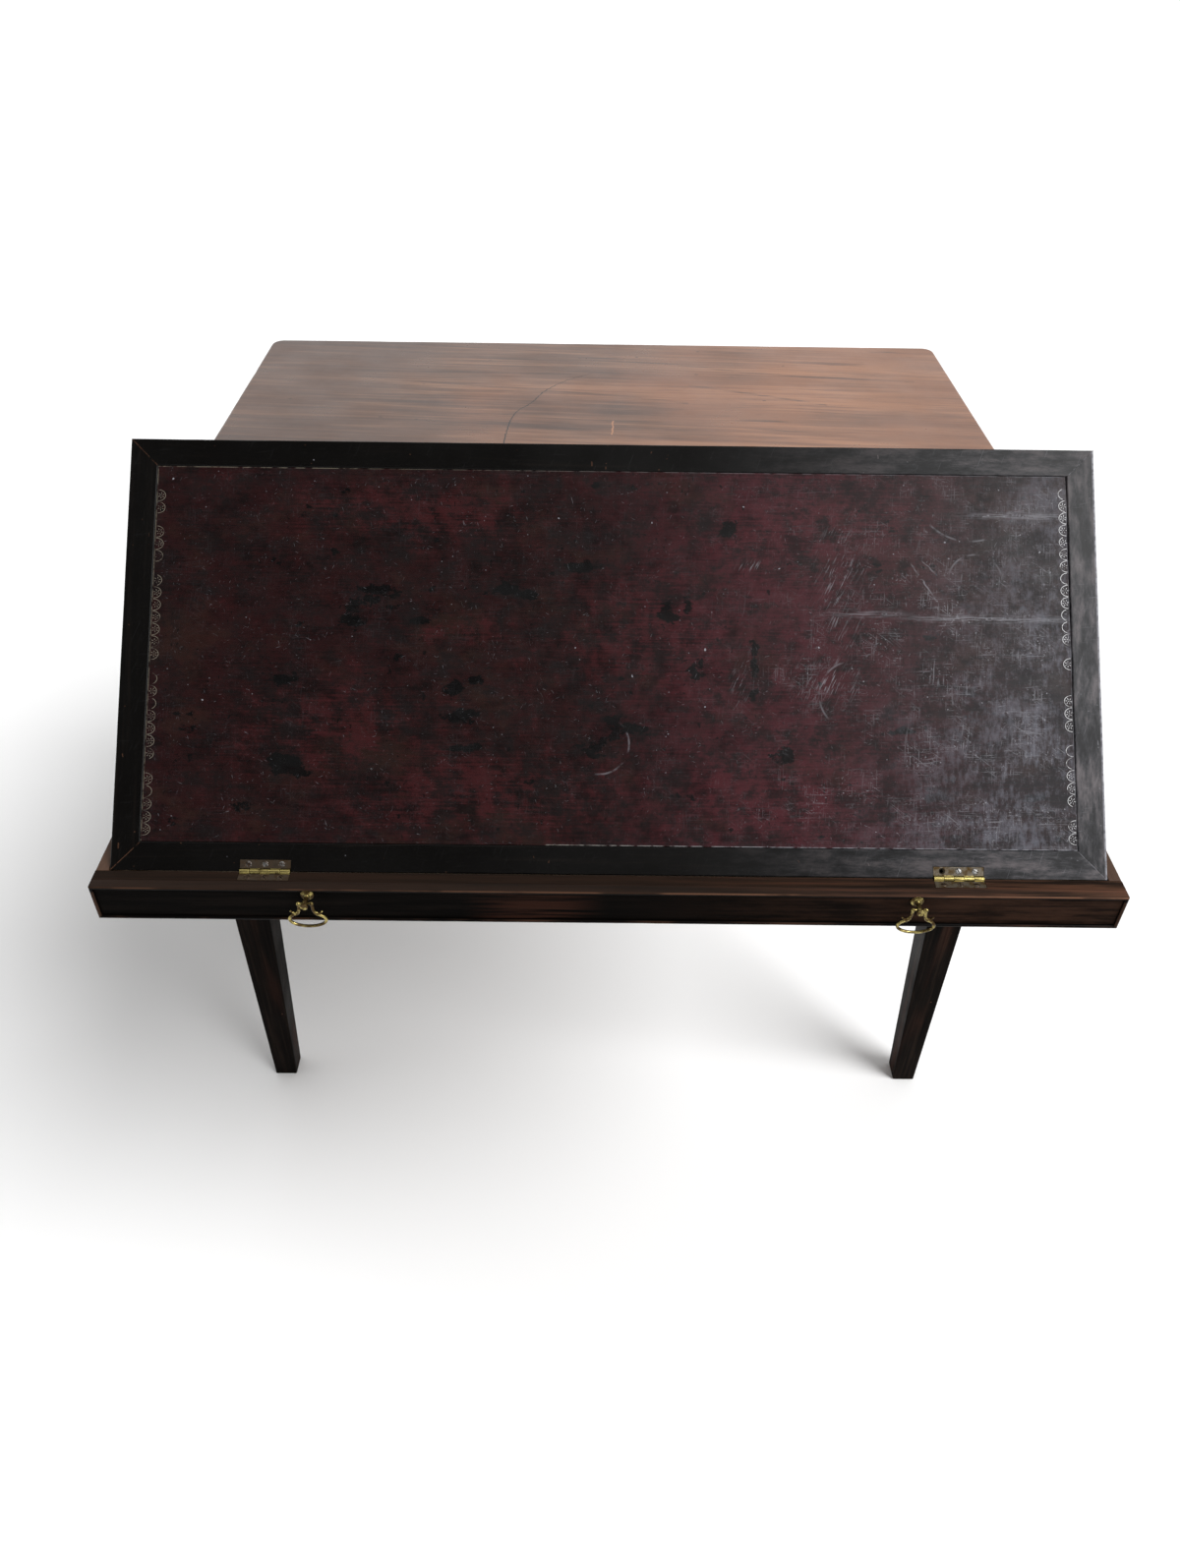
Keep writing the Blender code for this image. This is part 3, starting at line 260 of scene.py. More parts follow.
class Nodes:
    """Lays the nodes of one tree; most methods return the socket that the next one takes."""

    def __init__(self, tree):
        self.tree = tree

    def add(self, kind, inputs=(), **settings):
        """A node with its settings, and with its inputs fed in order or by name."""
        node = self.tree.nodes.new(kind)
        for setting, value in settings.items():
            setattr(node, setting, value)
        for key, value in inputs.items() if isinstance(inputs, dict) else enumerate(inputs):
            self.feed(node.inputs[key], value)
        return node

    def feed(self, socket, value):
        if isinstance(value, NodeSocket):
            self.tree.links.new(value, socket)
        elif socket.type == "RGBA":
            socket.default_value = (*value[:3], 1.0)
        else:
            socket.default_value = value

    def math(self, operation, *values):
        return self.add("ShaderNodeMath", values, operation=operation).outputs[0]

    def vectors(self, operation, *values):
        return self.add("ShaderNodeVectorMath", values, operation=operation).outputs

    def both(self, first, *others):
        for other in others:
            first = self.math("MULTIPLY", first, other)
        return first

    def most(self, first, *others):
        for other in others:
            first = self.math("MAXIMUM", first, other)
        return first

    def weighted(self, *pairs):
        """The sum of values, each taken by its weight."""
        (value, weight), *others = pairs
        total = value if weight == 1.0 else self.both(value, weight)
        for value, weight in others:
            total = self.math("MULTIPLY_ADD", value, weight, total)
        return total

    def ramp(self, value, low, high, start=0.0, end=1.0, step="SMOOTHSTEP"):
        """Start below low, end above high, with a soft step between them."""
        numbers = (value, low, high, start, end)
        return self.add("ShaderNodeMapRange", numbers, interpolation_type=step).outputs[0]

    def strip(self, value, low, high, soft):
        """One between low and high, nothing outside."""
        return self.both(
            self.ramp(value, low - soft, low + soft), self.ramp(value, high - soft, high + soft, 1.0, 0.0)
        )

    def coat(self, colour, paint, mask, share=1.0):
        """The colour with a paint over it where the mask says, or with a share of that."""
        if share != 1.0:
            mask = self.both(mask, share)
        inputs = {MIX_SHARE: mask, MIX_UNDER: colour, MIX_OVER: paint}
        return self.add("ShaderNodeMix", inputs, data_type="RGBA").outputs[MIX_RESULT]


class Finish(Nodes):
    """A procedural material whose nodes end in one shader."""

    def __init__(self, name, metallic=0.0, specular=0.5):
        self.material = bpy.data.materials.new(name)
        self.material.use_nodes = True
        super().__init__(self.material.node_tree)
        self.tree.nodes.clear()
        self.shader = self.add("ShaderNodeBsdfPrincipled")
        self.shader.inputs["Metallic"].default_value = metallic
        self.shader.inputs["Specular IOR Level"].default_value = specular
        self.add("ShaderNodeOutputMaterial", {"Surface": self.shader.outputs["BSDF"]})
        self.place = self.add("ShaderNodeTexCoord").outputs["Object"]
        self.colour = None

    def paint(self, colour, mask, share=1.0):
        """Lays a colour over what is painted so far."""
        self.colour = self.coat(self.colour, colour, mask, share)

    def mapped(self, vector, kind="POINT", location=(0, 0, 0), rotation=(0, 0, 0), scale=(1, 1, 1)):
        inputs = {"Vector": vector, "Location": location, "Rotation": rotation, "Scale": scale}
        return self.add("ShaderNodeMapping", inputs, vector_type=kind).outputs[0]

    def axes(self, vector):
        return self.add("ShaderNodeSeparateXYZ", [vector]).outputs

    def noise(self, vector, scale=1.0, stretch=None, detail=3.0, roughness=0.5, distortion=0.0):
        if stretch:
            vector = self.mapped(vector, scale=stretch)
        inputs = {"Vector": vector, "Scale": scale, "Detail": detail}
        inputs.update({"Roughness": roughness, "Distortion": distortion})
        return self.add("ShaderNodeTexNoise", inputs).outputs[0]

    def clouds(self, vector, low, high, start=0.0, end=1.0, **look):
        """Noise of a given look, stepped softly."""
        return self.ramp(self.noise(vector, **look), low, high, start, end)

    def swayed(self, vector, stretch, reach):
        """The vector moved sideways by a slow noise, so that the grain wanders."""
        sway = self.noise(vector, stretch=stretch, detail=2.0)
        drift = self.add("ShaderNodeCombineXYZ", {"Y": self.both(sway, reach)})
        return self.vectors("ADD", vector, drift.outputs[0])[0]

    def cells(self, vector, per_metre):
        return self.add("ShaderNodeTexVoronoi", {"Vector": vector, "Scale": per_metre}).outputs

    def painted(self, name):
        return self.add("ShaderNodeAttribute", attribute_name=name).outputs["Fac"]

    def specks(self, vector, per_metre, size, share):
        """Small round marks, in the given share of the cells."""
        cells = self.cells(vector, per_metre)
        dot = self.ramp(cells["Distance"], size * SPECK_CORE, size, 1.0, 0.0)
        chosen = self.ramp(self.axes(cells["Color"])["X"], share, share + SPECK_CHOICE, 1.0, 0.0)
        return self.both(dot, chosen)

    def strokes(self, vector, turn, along, across, shown):
        """Short fine scratches that run at one angle in the XY plane."""
        swayed = self.swayed(vector, STROKE_SWAY, STROKE_SWAY_REACH)
        size = (1.0 / along, 1.0 / across, 1.0 / across)
        turned_place = self.mapped(swayed, "TEXTURE", rotation=(0.0, 0.0, turn), scale=size)
        return self.clouds(turned_place, shown, shown + STROKE_SOFTNESS, detail=2.0)

    def line_at(self, distance, width):
        """A soft line where the distance from its middle is small."""
        return self.ramp(distance, width * LINE_CORE, width, 1.0, 0.0)

    def ring(self, vector, centre, radius, width, facing):
        """Part of a round mark, such as a cup leaves, on the side that faces one way."""
        offset = self.axes(self.mapped(vector, location=(-centre[0], -centre[1], 0.0)))
        square = self.weighted((offset["Y"], offset["Y"]), (offset["X"], offset["X"]))
        off_line = self.math("ABSOLUTE", self.math("SUBTRACT", self.math("SQRT", square), radius))
        turn = math.radians(facing)
        side = self.weighted((offset["Y"], math.sin(turn)), (offset["X"], math.cos(turn)))
        shown = self.ramp(side, radius * RING_START, radius * RING_FULL)
        return self.both(self.line_at(off_line, width), shown)

    def hairline(self, vector, points, width):
        """A fine line through points of rising Y, wandering a little."""
        low, high = points[0][1], points[-1][1]
        left = min(x for x, y in points)
        reach = max(x for x, y in points) - left or 1.0
        axes = self.axes(vector)
        curve = self.add("ShaderNodeFloatCurve")
        run = curve.mapping.curves[0]
        marks = [((y - low) / (high - low), (x - left) / reach) for x, y in points]
        for mark in marks[1:-1]:
            run.points.new(*mark)
        run.points[0].location = marks[0]
        run.points[len(run.points) - 1].location = marks[-1]
        curve.mapping.update()
        self.feed(curve.inputs["Value"], self.ramp(axes["Y"], low, high, step="LINEAR"))
        wander = self.both(self.noise(vector, WANDER_PER_METRE, detail=4.0), WANDER_REACH)
        middle = self.math("MULTIPLY_ADD", curve.outputs[0], reach, left - WANDER_REACH / 2.0)
        middle = self.math("ADD", middle, wander)
        away = self.math("ABSOLUTE", self.math("SUBTRACT", axes["X"], middle))
        return self.both(self.line_at(away, width), self.strip(axes["Y"], low, high, HAIRLINE_END))

    def close(self, roughness, relief, depth):
        """Ends the material with its roughness and the depth of its relief."""
        bump = self.add("ShaderNodeBump", {"Height": relief})
        bump.inputs["Strength"].default_value = 1.0
        bump.inputs["Distance"].default_value = depth
        self.feed(self.shader.inputs["Base Color"], self.colour)
        self.feed(self.shader.inputs["Roughness"], roughness)
        self.feed(self.shader.inputs["Normal"], bump.outputs["Normal"])
        return self.material


# Wood

GRAIN_SWAY = (1.6, 5.0, 5.0)
GRAIN_SWAY_REACH = 0.030
GRAIN_BANDS = (1.2, 18.0, 18.0)
GRAIN_FIGURE = (3.4, 74.0, 74.0)
GRAIN_FIBRES = (9.0, 270.0, 270.0)
GRAIN_PORES = (110.0, 2100.0, 2100.0)
GRAIN_TURNS = {"X": (0.0, 0.0, 0.0), "Y": (0.0, 0.0, -QUARTER_TURN), "Z": (0.0, QUARTER_TURN, 0.0)}

# Depth of relief, in metres
POLISH_RELIEF = 0.00002
BEAD_RELIEF = 0.00004
OLD_WOOD_RELIEF = 0.00005
OAK_RELIEF = 0.00008
SURFACE_RELIEF = 0.00003


def in_slope(finish):
    return finish.mapped(finish.place, "TEXTURE", location=slope_origin, rotation=(slope_tilt, 0.0, 0.0))


def board(finish, along, dark, middle, light):
    """Bands, fibres and pores of a board that is long in X; returns its relief."""
    along = finish.swayed(along, GRAIN_SWAY, GRAIN_SWAY_REACH)
    bands = finish.noise(along, stretch=GRAIN_BANDS, detail=4.0, distortion=0.7)
    figure = finish.noise(along, stretch=GRAIN_FIGURE, detail=6.0, roughness=0.62)
    fibres = finish.noise(along, stretch=GRAIN_FIBRES, detail=5.0, roughness=0.65)
    pores = finish.clouds(along, low=0.62, high=0.72, stretch=GRAIN_PORES, detail=1.0)
    share = finish.weighted((bands, 0.22), (figure, 0.36), (fibres, 0.42))
    finish.colour = finish.coat(dark, middle, finish.ramp(share, low=0.40, high=0.51))
    finish.paint(light, finish.ramp(share, low=0.50, high=0.61))
    finish.paint(dark, pores, share=0.6)
    return finish.math("SUBTRACT", finish.both(fibres, 0.35), pores)


def satin(finish, smooth, dull):
    """Roughness of a rubbed polish, with finger marks and duller clouds."""
    look = {"scale": 11.0, "detail": 5.0, "roughness": 0.6}
    return finish.clouds(finish.place, low=0.30, high=0.72, start=smooth, end=dull, **look)


# Lines on the table top, as (X, Y) points
CRACK = [
    (-0.1175, 0.150),
    (-0.1165, 0.215),
    (-0.1090, 0.268),
    (-0.0915, 0.300),
    (-0.0743, 0.342),
    (-0.0168, 0.402),
]
CRACK_WIDTH = 0.0010
NICK = [(0.0086, 0.207), (0.0104, 0.248)]
NICK_WIDTH = 0.0013
GRAIN_LINES = [
    [(-0.389, 0.403), (-0.231, 0.367), (0.005, 0.329), (0.105, 0.306)],
    [(-0.018, 0.452), (0.113, 0.435), (0.190, 0.413), (0.317, 0.396), (0.406, 0.389)],
    [(0.109, 0.365), (0.183, 0.341), (0.278, 0.306)],
]
GRAIN_LINE_WIDTH = 0.0042
TOP_LEAN = -0.06
TOP_SWAY = (3.0, 7.0, 7.0)
TOP_SWAY_REACH = 0.012
TOP_BANDS = (2.2, 26.0, 26.0)
TOP_THREADS = (6.0, 190.0, 190.0)
TOP_STREAKS = (4.6, 58.0, 58.0)
TOP_PORES = (55.0, 900.0, 900.0)
TOP_RIM_LOW = table_height - 0.0060
TOP_RIM_HIGH = table_height - 0.0015


def mahogany_top(colours):
    """Worn satin mahogany with darker streaks, a hairline crack, dents and a pale nick."""
    finish = Finish("mahogany_top", specular=0.42)
    place = finish.place
    axes = finish.axes(place)
    leaning = finish.mapped(place, "TEXTURE", rotation=(0.0, 0.0, TOP_LEAN))
    leaning = finish.swayed(leaning, TOP_SWAY, TOP_SWAY_REACH)
    bands = finish.noise(leaning, stretch=TOP_BANDS, detail=5.0, roughness=0.55)
    threads = finish.noise(leaning, stretch=TOP_THREADS, detail=6.0, roughness=0.66)
    pores = finish.clouds(leaning, low=0.60, high=0.74, stretch=TOP_PORES, detail=2.0)
    share = finish.weighted((bands, 0.45), (threads, 0.55))
    finish.colour = finish.coat(colours.top_dark, colours.top_middle, finish.ramp(share, low=0.41, high=0.49))
    finish.paint(colours.top_light, finish.ramp(share, low=0.50, high=0.60))
    warm = finish.weighted((finish.noise(place, scale=5.0), 1.0), (axes["X"], 0.60))
    finish.paint(colours.top_red, finish.ramp(warm, low=0.34, high=0.76, end=0.62))
    # The top is painted darker towards the left and paler towards the right.
    faded = finish.weighted((finish.noise(place, scale=3.0, detail=2.0), 1.0), (axes["X"], 1.1))
    finish.paint(colours.top_dark, finish.ramp(faded, low=0.10, high=0.48, start=0.62, end=0.0))
    pale = finish.ramp(faded, low=0.44, high=0.86, end=0.85)
    pale = finish.both(pale, finish.ramp(share, low=0.43, high=0.58, start=0.25))
    finish.paint(colours.top_pale_end, pale)
    streaks = finish.noise(leaning, stretch=TOP_STREAKS, detail=6.0, roughness=0.60, distortion=0.5)
    figured = finish.clouds(place, low=0.42, high=0.62, start=0.25, scale=4.3, detail=2.0)
    dark = finish.both(finish.ramp(streaks, low=0.54, high=0.68), figured)
    finish.paint(colours.top_dark, dark, share=0.82)
    quarter_turned = finish.mapped(place, rotation=(0.0, 0.0, QUARTER_TURN))
    for points in GRAIN_LINES:
        line = finish.hairline(quarter_turned, [(-y, x) for x, y in points], GRAIN_LINE_WIDTH)
        line = finish.both(line, finish.ramp(threads, low=0.40, high=0.58, start=0.70, end=0.12))
        finish.paint(colours.top_dark, line)
    end = finish.both(finish.ramp(axes["X"], low=0.26, high=0.46), finish.ramp(threads, low=0.42, high=0.58))
    finish.paint(colours.old_red, end, share=0.50)
    rim = finish.ramp(axes["Z"], TOP_RIM_LOW, TOP_RIM_HIGH, start=0.80, end=0.0)
    finish.paint(colours.top_dark, rim)
    finish.paint(colours.top_dark, pores, share=0.45)
    dents = finish.specks(finish.mapped(place, scale=(0.6, 1.4, 1.0)), per_metre=42.0, size=0.085, share=0.30)
    finish.paint(colours.old_light, dents, share=0.85)
    crack = finish.hairline(place, CRACK, CRACK_WIDTH)
    finish.paint(colours.old_dark, crack)
    rubs = finish.strokes(place, turn=0.05, along=14.0, across=420.0, shown=0.64)
    finish.paint(colours.top_light, rubs, share=0.22)
    finish.paint(colours.top_pale_end, finish.hairline(place, NICK, NICK_WIDTH))
    relief = finish.math("SUBTRACT", finish.both(bands, 2.0), finish.both(crack, 3.0))
    return finish.close(satin(finish, smooth=0.26, dull=0.40), relief, POLISH_RELIEF)


THIN_POLISH = (3.0, 22.0, 22.0)


def mahogany_dark(colours, name, grain="X", shift=0.0):
    """Old, nearly black polish that lets red wood through in places."""
    finish = Finish(name, specular=0.015)
    along = finish.mapped(finish.place, location=(shift, 0.0, 0.0), rotation=GRAIN_TURNS[grain])
    relief = board(finish, along, colours.old_dark, colours.old_middle, colours.old_light)
    thin = finish.clouds(along, low=0.58, high=0.76, stretch=THIN_POLISH, detail=4.0)
    finish.paint(colours.old_red, thin, share=0.35)
    nicks = finish.specks(finish.place, per_metre=60.0, size=0.07, share=0.18)
    finish.paint(colours.bare, nicks, share=0.6)
    relief = finish.math("SUBTRACT", relief, finish.both(nicks, 2.0))
    return finish.close(satin(finish, smooth=0.34, dull=0.52), relief, OLD_WOOD_RELIEF)


FRONT_STREAKS = (7.0, 190.0, 320.0)
FRONT_MOTTLE = (26.0, 80.0, 120.0)
RED_PATCH = {"low": -0.092, "high": -0.020, "soft": 0.022}


def front_streaks(finish):
    return finish.noise(finish.place, stretch=FRONT_STREAKS, detail=7.0, roughness=0.66)


def ledge_colour(finish, colours, streaks, right):
    """Brown of the ledge, darkest on the left and rubbed by hands on the right."""
    axes = finish.axes(finish.place)
    rich = finish.ramp(streaks, low=0.36, high=0.60)
    rich = finish.both(rich, finish.ramp(right, low=0.0, high=1.0, start=0.14, end=0.95))
    brown = finish.coat(colours.old_light, colours.old_brown, rich)
    brown = finish.coat(brown, colours.old_red, finish.both(finish.ramp(streaks, low=0.50, high=0.66), right))
    handled = finish.ramp(axes["X"], low=0.22, high=0.46)
    handled = finish.both(handled, finish.ramp(streaks, low=0.40, high=0.60))
    return finish.coat(brown, colours.bare, handled, share=0.40)


def drawer_front_polish(colours):
    """Dark front that reddens to the right, below a browner ledge rubbed by the drawer's use."""
    finish = Finish("drawer_front_polish", specular=0.012)
    axes = finish.axes(finish.place)
    right = finish.ramp(axes["X"], low=-0.02, high=0.34)
    relief = board(finish, finish.place, colours.old_dark, colours.old_dark, colours.old_middle)
    streaks = front_streaks(finish)
    mottled = finish.noise(finish.place, stretch=FRONT_MOTTLE, detail=6.0, roughness=0.7)
    worn = finish.both(finish.math("ADD", streaks, mottled), 0.5)
    worn = finish.both(right, finish.ramp(worn, low=0.38, high=0.62, start=0.06, end=0.50))
    finish.paint(colours.old_brown, worn)
    patch = finish.both(finish.strip(axes["X"], **RED_PATCH), finish.ramp(streaks, low=0.42, high=0.58))
    finish.paint(colours.old_red, patch, share=0.30)
    ledge = finish.ramp(axes["Z"], low=drawer_top - 0.0010, high=drawer_top - 0.0005)
    finish.paint(ledge_colour(finish, colours, streaks, right), ledge)
    return finish.close(satin(finish, smooth=0.34, dull=0.52), relief, OLD_WOOD_RELIEF)


BEAD_PATCHES = (16.0, 90.0, 90.0)


def cock_bead_polish(colours, name, grain):
    """Bead that shares the ledge's brown above, with a pale line along its upper nose: partly rubbed wear,
    partly a painted highlight.
    """
    finish = Finish(name, specular=0.05)
    along = finish.mapped(finish.place, rotation=GRAIN_TURNS[grain])
    relief = board(finish, along, colours.old_dark, colours.old_dark, colours.old_middle)
    axes = finish.axes(finish.place)
    right = finish.ramp(axes["X"], low=-0.02, high=0.34)
    upper = finish.ramp(axes["Z"], low=drawer_top - 0.0013, high=drawer_top - 0.0006)
    nose = finish.ramp(axes["Y"], low=front_face - 0.0015, high=front_face - 0.0005, start=1.0, end=0.0)
    rubbed = finish.clouds(along, low=0.42, high=0.60, stretch=BEAD_PATCHES, detail=5.0)
    below = finish.ramp(axes["Z"], low=drawer_top - 0.006, high=drawer_top - 0.004, start=0.24, end=0.0)
    finish.paint(colours.bare, finish.both(nose, rubbed, below))
    finish.paint(ledge_colour(finish, colours, front_streaks(finish), right), upper)
    # Pale line along the upper nose, stronger towards the right: a painted highlight, partly rubbed wear.
    line = finish.both(nose, upper, finish.ramp(rubbed, low=0.0, high=1.0, start=0.10, end=0.95))
    line = finish.both(line, finish.ramp(axes["X"], low=-0.30, high=0.40, start=0.25))
    finish.paint(colours.bare, line)
    return finish.close(satin(finish, smooth=0.30, dull=0.46), relief, BEAD_RELIEF)


BORDER_SMEARS = (22.0, 70.0, 70.0)
MITRE_FULL = 0.021
MITRE_GONE = 0.022
CRUMB_SWAY = (90.0, 90.0, 90.0)
CRUMB_SWAY_REACH = 0.02


def slope_border_polish(colours, name, grain):
    """Near-black border, scratched on the right and pale there with dust and a painted sheen, with rubbed
    mitres and a right arris painted pale as wear and a painted highlight.
    """
    finish = Finish(name, specular=0.13)
    slope = in_slope(finish)
    along = finish.mapped(slope, rotation=GRAIN_TURNS[grain])
    relief = board(finish, along, colours.old_dark, colours.old_dark, colours.old_middle)
    axes = finish.axes(slope)
    right = finish.ramp(axes["X"], low=0.05, high=0.37)
    right = finish.both(right, finish.ramp(axes["Z"], low=-0.004, high=-0.001))
    right = finish.both(right, finish.ramp(axes["Y"], low=0.14, high=0.34, start=1.0, end=0.62))
    smears = finish.noise(along, stretch=BORDER_SMEARS, detail=8.0, roughness=0.74)
    worn = finish.both(right, finish.ramp(smears, low=0.46, high=0.64))
    finish.paint(colours.old_brown, worn, share=0.55)
    # Pale grey smears on the right of the border: partly dust, partly a painted sheen for the light reflected
    # there.
    dust_and_sheen = finish.both(right, finish.ramp(smears, low=0.38, high=0.68, start=0.05, end=0.34))
    finish.paint(colours.hide_pale, dust_and_sheen)
    side = finish.math("SUBTRACT", slope_half_width, finish.math("ABSOLUTE", axes["X"]))
    end = finish.math("MINIMUM", axes["Y"], finish.math("SUBTRACT", slope_length, axes["Y"]))
    off_mitre = finish.math("ABSOLUTE", finish.math("SUBTRACT", side, end))
    mitre = finish.ramp(off_mitre, low=0.0002, high=0.0006, start=1.0, end=0.0)
    mitre = finish.both(mitre, finish.ramp(side, MITRE_FULL, MITRE_GONE, start=1.0, end=0.0))
    broken = finish.clouds(slope, low=0.40, high=0.56, scale=240.0)
    # The right arris is painted pale: partly rubbed wear, partly a painted highlight where the arris catches
    # the light.
    arris = finish.ramp(axes["X"], low=slope_half_width - 0.0022, high=slope_half_width - 0.0008)
    arris = finish.both(arris, finish.ramp(axes["Z"], low=-0.0016, high=-0.0006))
    marks = finish.most(
        finish.strokes(slope, turn=1.2, along=40.0, across=900.0, shown=0.66),
        finish.strokes(slope, turn=0.1, along=40.0, across=900.0, shown=0.67),
    )
    rubbed = finish.both(arris, finish.ramp(broken, low=0.0, high=1.0, start=0.45, end=0.95))
    scratched = finish.both(marks, finish.ramp(right, low=0.0, high=1.0, start=0.01, end=0.22))
    flecks = finish.both(finish.specks(slope, per_metre=90.0, size=0.07, share=0.08), 0.35)
    finish.paint(colours.hide_pale, finish.most(rubbed, scratched, flecks))
    uneven = finish.swayed(slope, CRUMB_SWAY, CRUMB_SWAY_REACH)
    crumbs = finish.both(finish.specks(uneven, per_metre=170.0, size=0.13, share=0.22), 0.30)
    crumbs = finish.most(crumbs, finish.both(mitre, broken, 0.50))
    crumb_colour = finish.coat(colours.bare, colours.hide_pale, finish.ramp(axes["X"], low=0.1, high=0.3))
    finish.paint(crumb_colour, crumbs)
    relief = finish.math("SUBTRACT", relief, marks)
    return finish.close(satin(finish, smooth=0.33, dull=0.41), relief, POLISH_RELIEF)


OAK_FLECKS = (60.0, 320.0, 320.0)


def oak_lining(colours, name, grain, tilted=False):
    """Bare planed oak, darkened by age and handling."""
    finish = Finish(name, specular=0.25)
    start = in_slope(finish) if tilted else finish.place
    along = finish.mapped(start, rotation=GRAIN_TURNS[grain])
    relief = board(finish, along, colours.oak_dark, colours.oak_middle, colours.oak_light)
    flecks = finish.clouds(along, low=0.64, high=0.72, stretch=OAK_FLECKS, detail=2.0)
    finish.paint(colours.oak_light, flecks, share=0.5)
    grime = finish.clouds(finish.place, low=0.40, high=0.70, scale=14.0, detail=5.0, roughness=0.65)
    finish.paint(colours.oak_dark, grime, share=0.55)
    if not tilted:
        height = finish.axes(finish.place)["Z"]
        rim = finish.ramp(height, low=drawer_side_top - 0.0012, high=drawer_side_top - 0.0004, end=0.85)
        finish.paint(colours.old_brown, rim)
    return finish.close(satin(finish, smooth=0.55, dull=0.75), relief, OAK_RELIEF)


# Leather

# Places on the leather, along X and up the slope, with their reach in both directions
INK_BLOTS = [
    (-0.178, 0.209, 0.019, 0.011),
    (-0.194, 0.192, 0.013, 0.004),
    (-0.150, 0.193, 0.012, 0.003),
    (-0.247, 0.083, 0.011, 0.009),
    (-0.237, 0.075, 0.012, 0.004),
    (-0.080, 0.222, 0.010, 0.006),
    (-0.066, 0.214, 0.010, 0.004),
    (0.043, 0.203, 0.008, 0.010),
    (0.058, 0.207, 0.004, 0.007),
    (0.089, 0.266, 0.006, 0.005),
    (-0.025, 0.238, 0.010, 0.006),
    (0.004, 0.110, 0.016, 0.010),
    (-0.010, 0.098, 0.012, 0.008),
    (-0.253, 0.147, 0.009, 0.003),
    (-0.104, 0.149, 0.007, 0.005),
    (-0.120, 0.142, 0.006, 0.006),
    (-0.110, 0.095, 0.013, 0.004),
    (-0.277, 0.050, 0.008, 0.005),
    (0.064, 0.155, 0.012, 0.007),
    (0.134, 0.095, 0.006, 0.008),
    (-0.115, 0.119, 0.010, 0.006),
    (0.110, 0.160, 0.004, 0.016),
    (0.225, 0.112, 0.010, 0.003),
    (-0.215, 0.276, 0.003, 0.002),
]
RUBBED_PATCHES = [
    (-0.140, 0.277, 0.075, 0.022),
    (-0.200, 0.283, 0.040, 0.010),
    (-0.125, 0.188, 0.040, 0.012),
    (0.030, 0.185, 0.060, 0.045),
    (-0.100, 0.060, 0.100, 0.028),
    (0.120, 0.060, 0.080, 0.030),
    (0.120, 0.260, 0.050, 0.022),
    (-0.210, 0.110, 0.070, 0.030),
    (0.180, 0.280, 0.060, 0.020),
]
SCUFFED_PATCHES = [
    (0.168, 0.160, 0.040, 0.026),
    (0.310, 0.205, 0.050, 0.010),
    (0.270, 0.110, 0.060, 0.040),
    (0.335, 0.150, 0.022, 0.110),
    (0.310, 0.060, 0.040, 0.040),
    (0.200, 0.055, 0.100, 0.016),
    (0.240, 0.190, 0.060, 0.050),
]
HATCHED_PATCHES = [
    (0.178, 0.222, 0.014, 0.034),
    (0.164, 0.150, 0.022, 0.014),
    (0.098, 0.147, 0.004, 0.016),
    (0.107, 0.239, 0.008, 0.003),
]

# Creases as the start, end and line up the slope; rings as centre, radius and the side that shows
CREASES = [(0.285, 0.353, 0.2850), (0.235, 0.353, 0.2030), (0.180, 0.215, 0.2060)]
CUP_RINGS = [
    ((0.1860, 0.1390), 0.0270, 150.0),
    ((-0.0092, 0.0994), 0.0230, -30.0),
    ((0.2769, 0.3042), 0.0430, -90.0),
    ((0.2806, 0.2296), 0.0210, 90.0),
]
CUP_RING_WIDTH = 0.0010
LONG_SCRATCHES = [
    [(0.2502, 0.2140), (0.2312, 0.2426)],
    [(0.2510, 0.2344), (0.2396, 0.2454)],
    [(0.2275, 0.2099), (0.2260, 0.2167)],
    [(0.1940, 0.2187), (0.1930, 0.2310)],
    [(0.3156, 0.2406), (0.3095, 0.2500)],
]
LONG_SCRATCH_WIDTH = 0.0009
TICK_TURNS = (0.35, -0.45, -1.25)
HIDE_STRIAE = (30.0, 620.0, 1.0)
HIDE_WAX = (13.0, 19.0, 1.0)
HIDE_SMUDGES = (34.0, 52.0, 1.0)
HIDE_RAIN = (260.0, 80.0, 1.0)
HIDE_PORES = 1300.0
INK_RAGS = (26.0, 52.0, 1.0)
CREASE_SWAY = (170.0, 60.0, 60.0)
CREASE_SWAY_REACH = 0.006
CREASE_BAND = 0.0022
CREASE_CORE = 0.0009
CREASE_CORE_EDGE = 0.0008
CREASE_END = 0.03
SPECK_SWAY = (80.0, 80.0, 80.0)
SPECK_SWAY_REACH = 0.012
NOISE_MIDDLE = 0.5


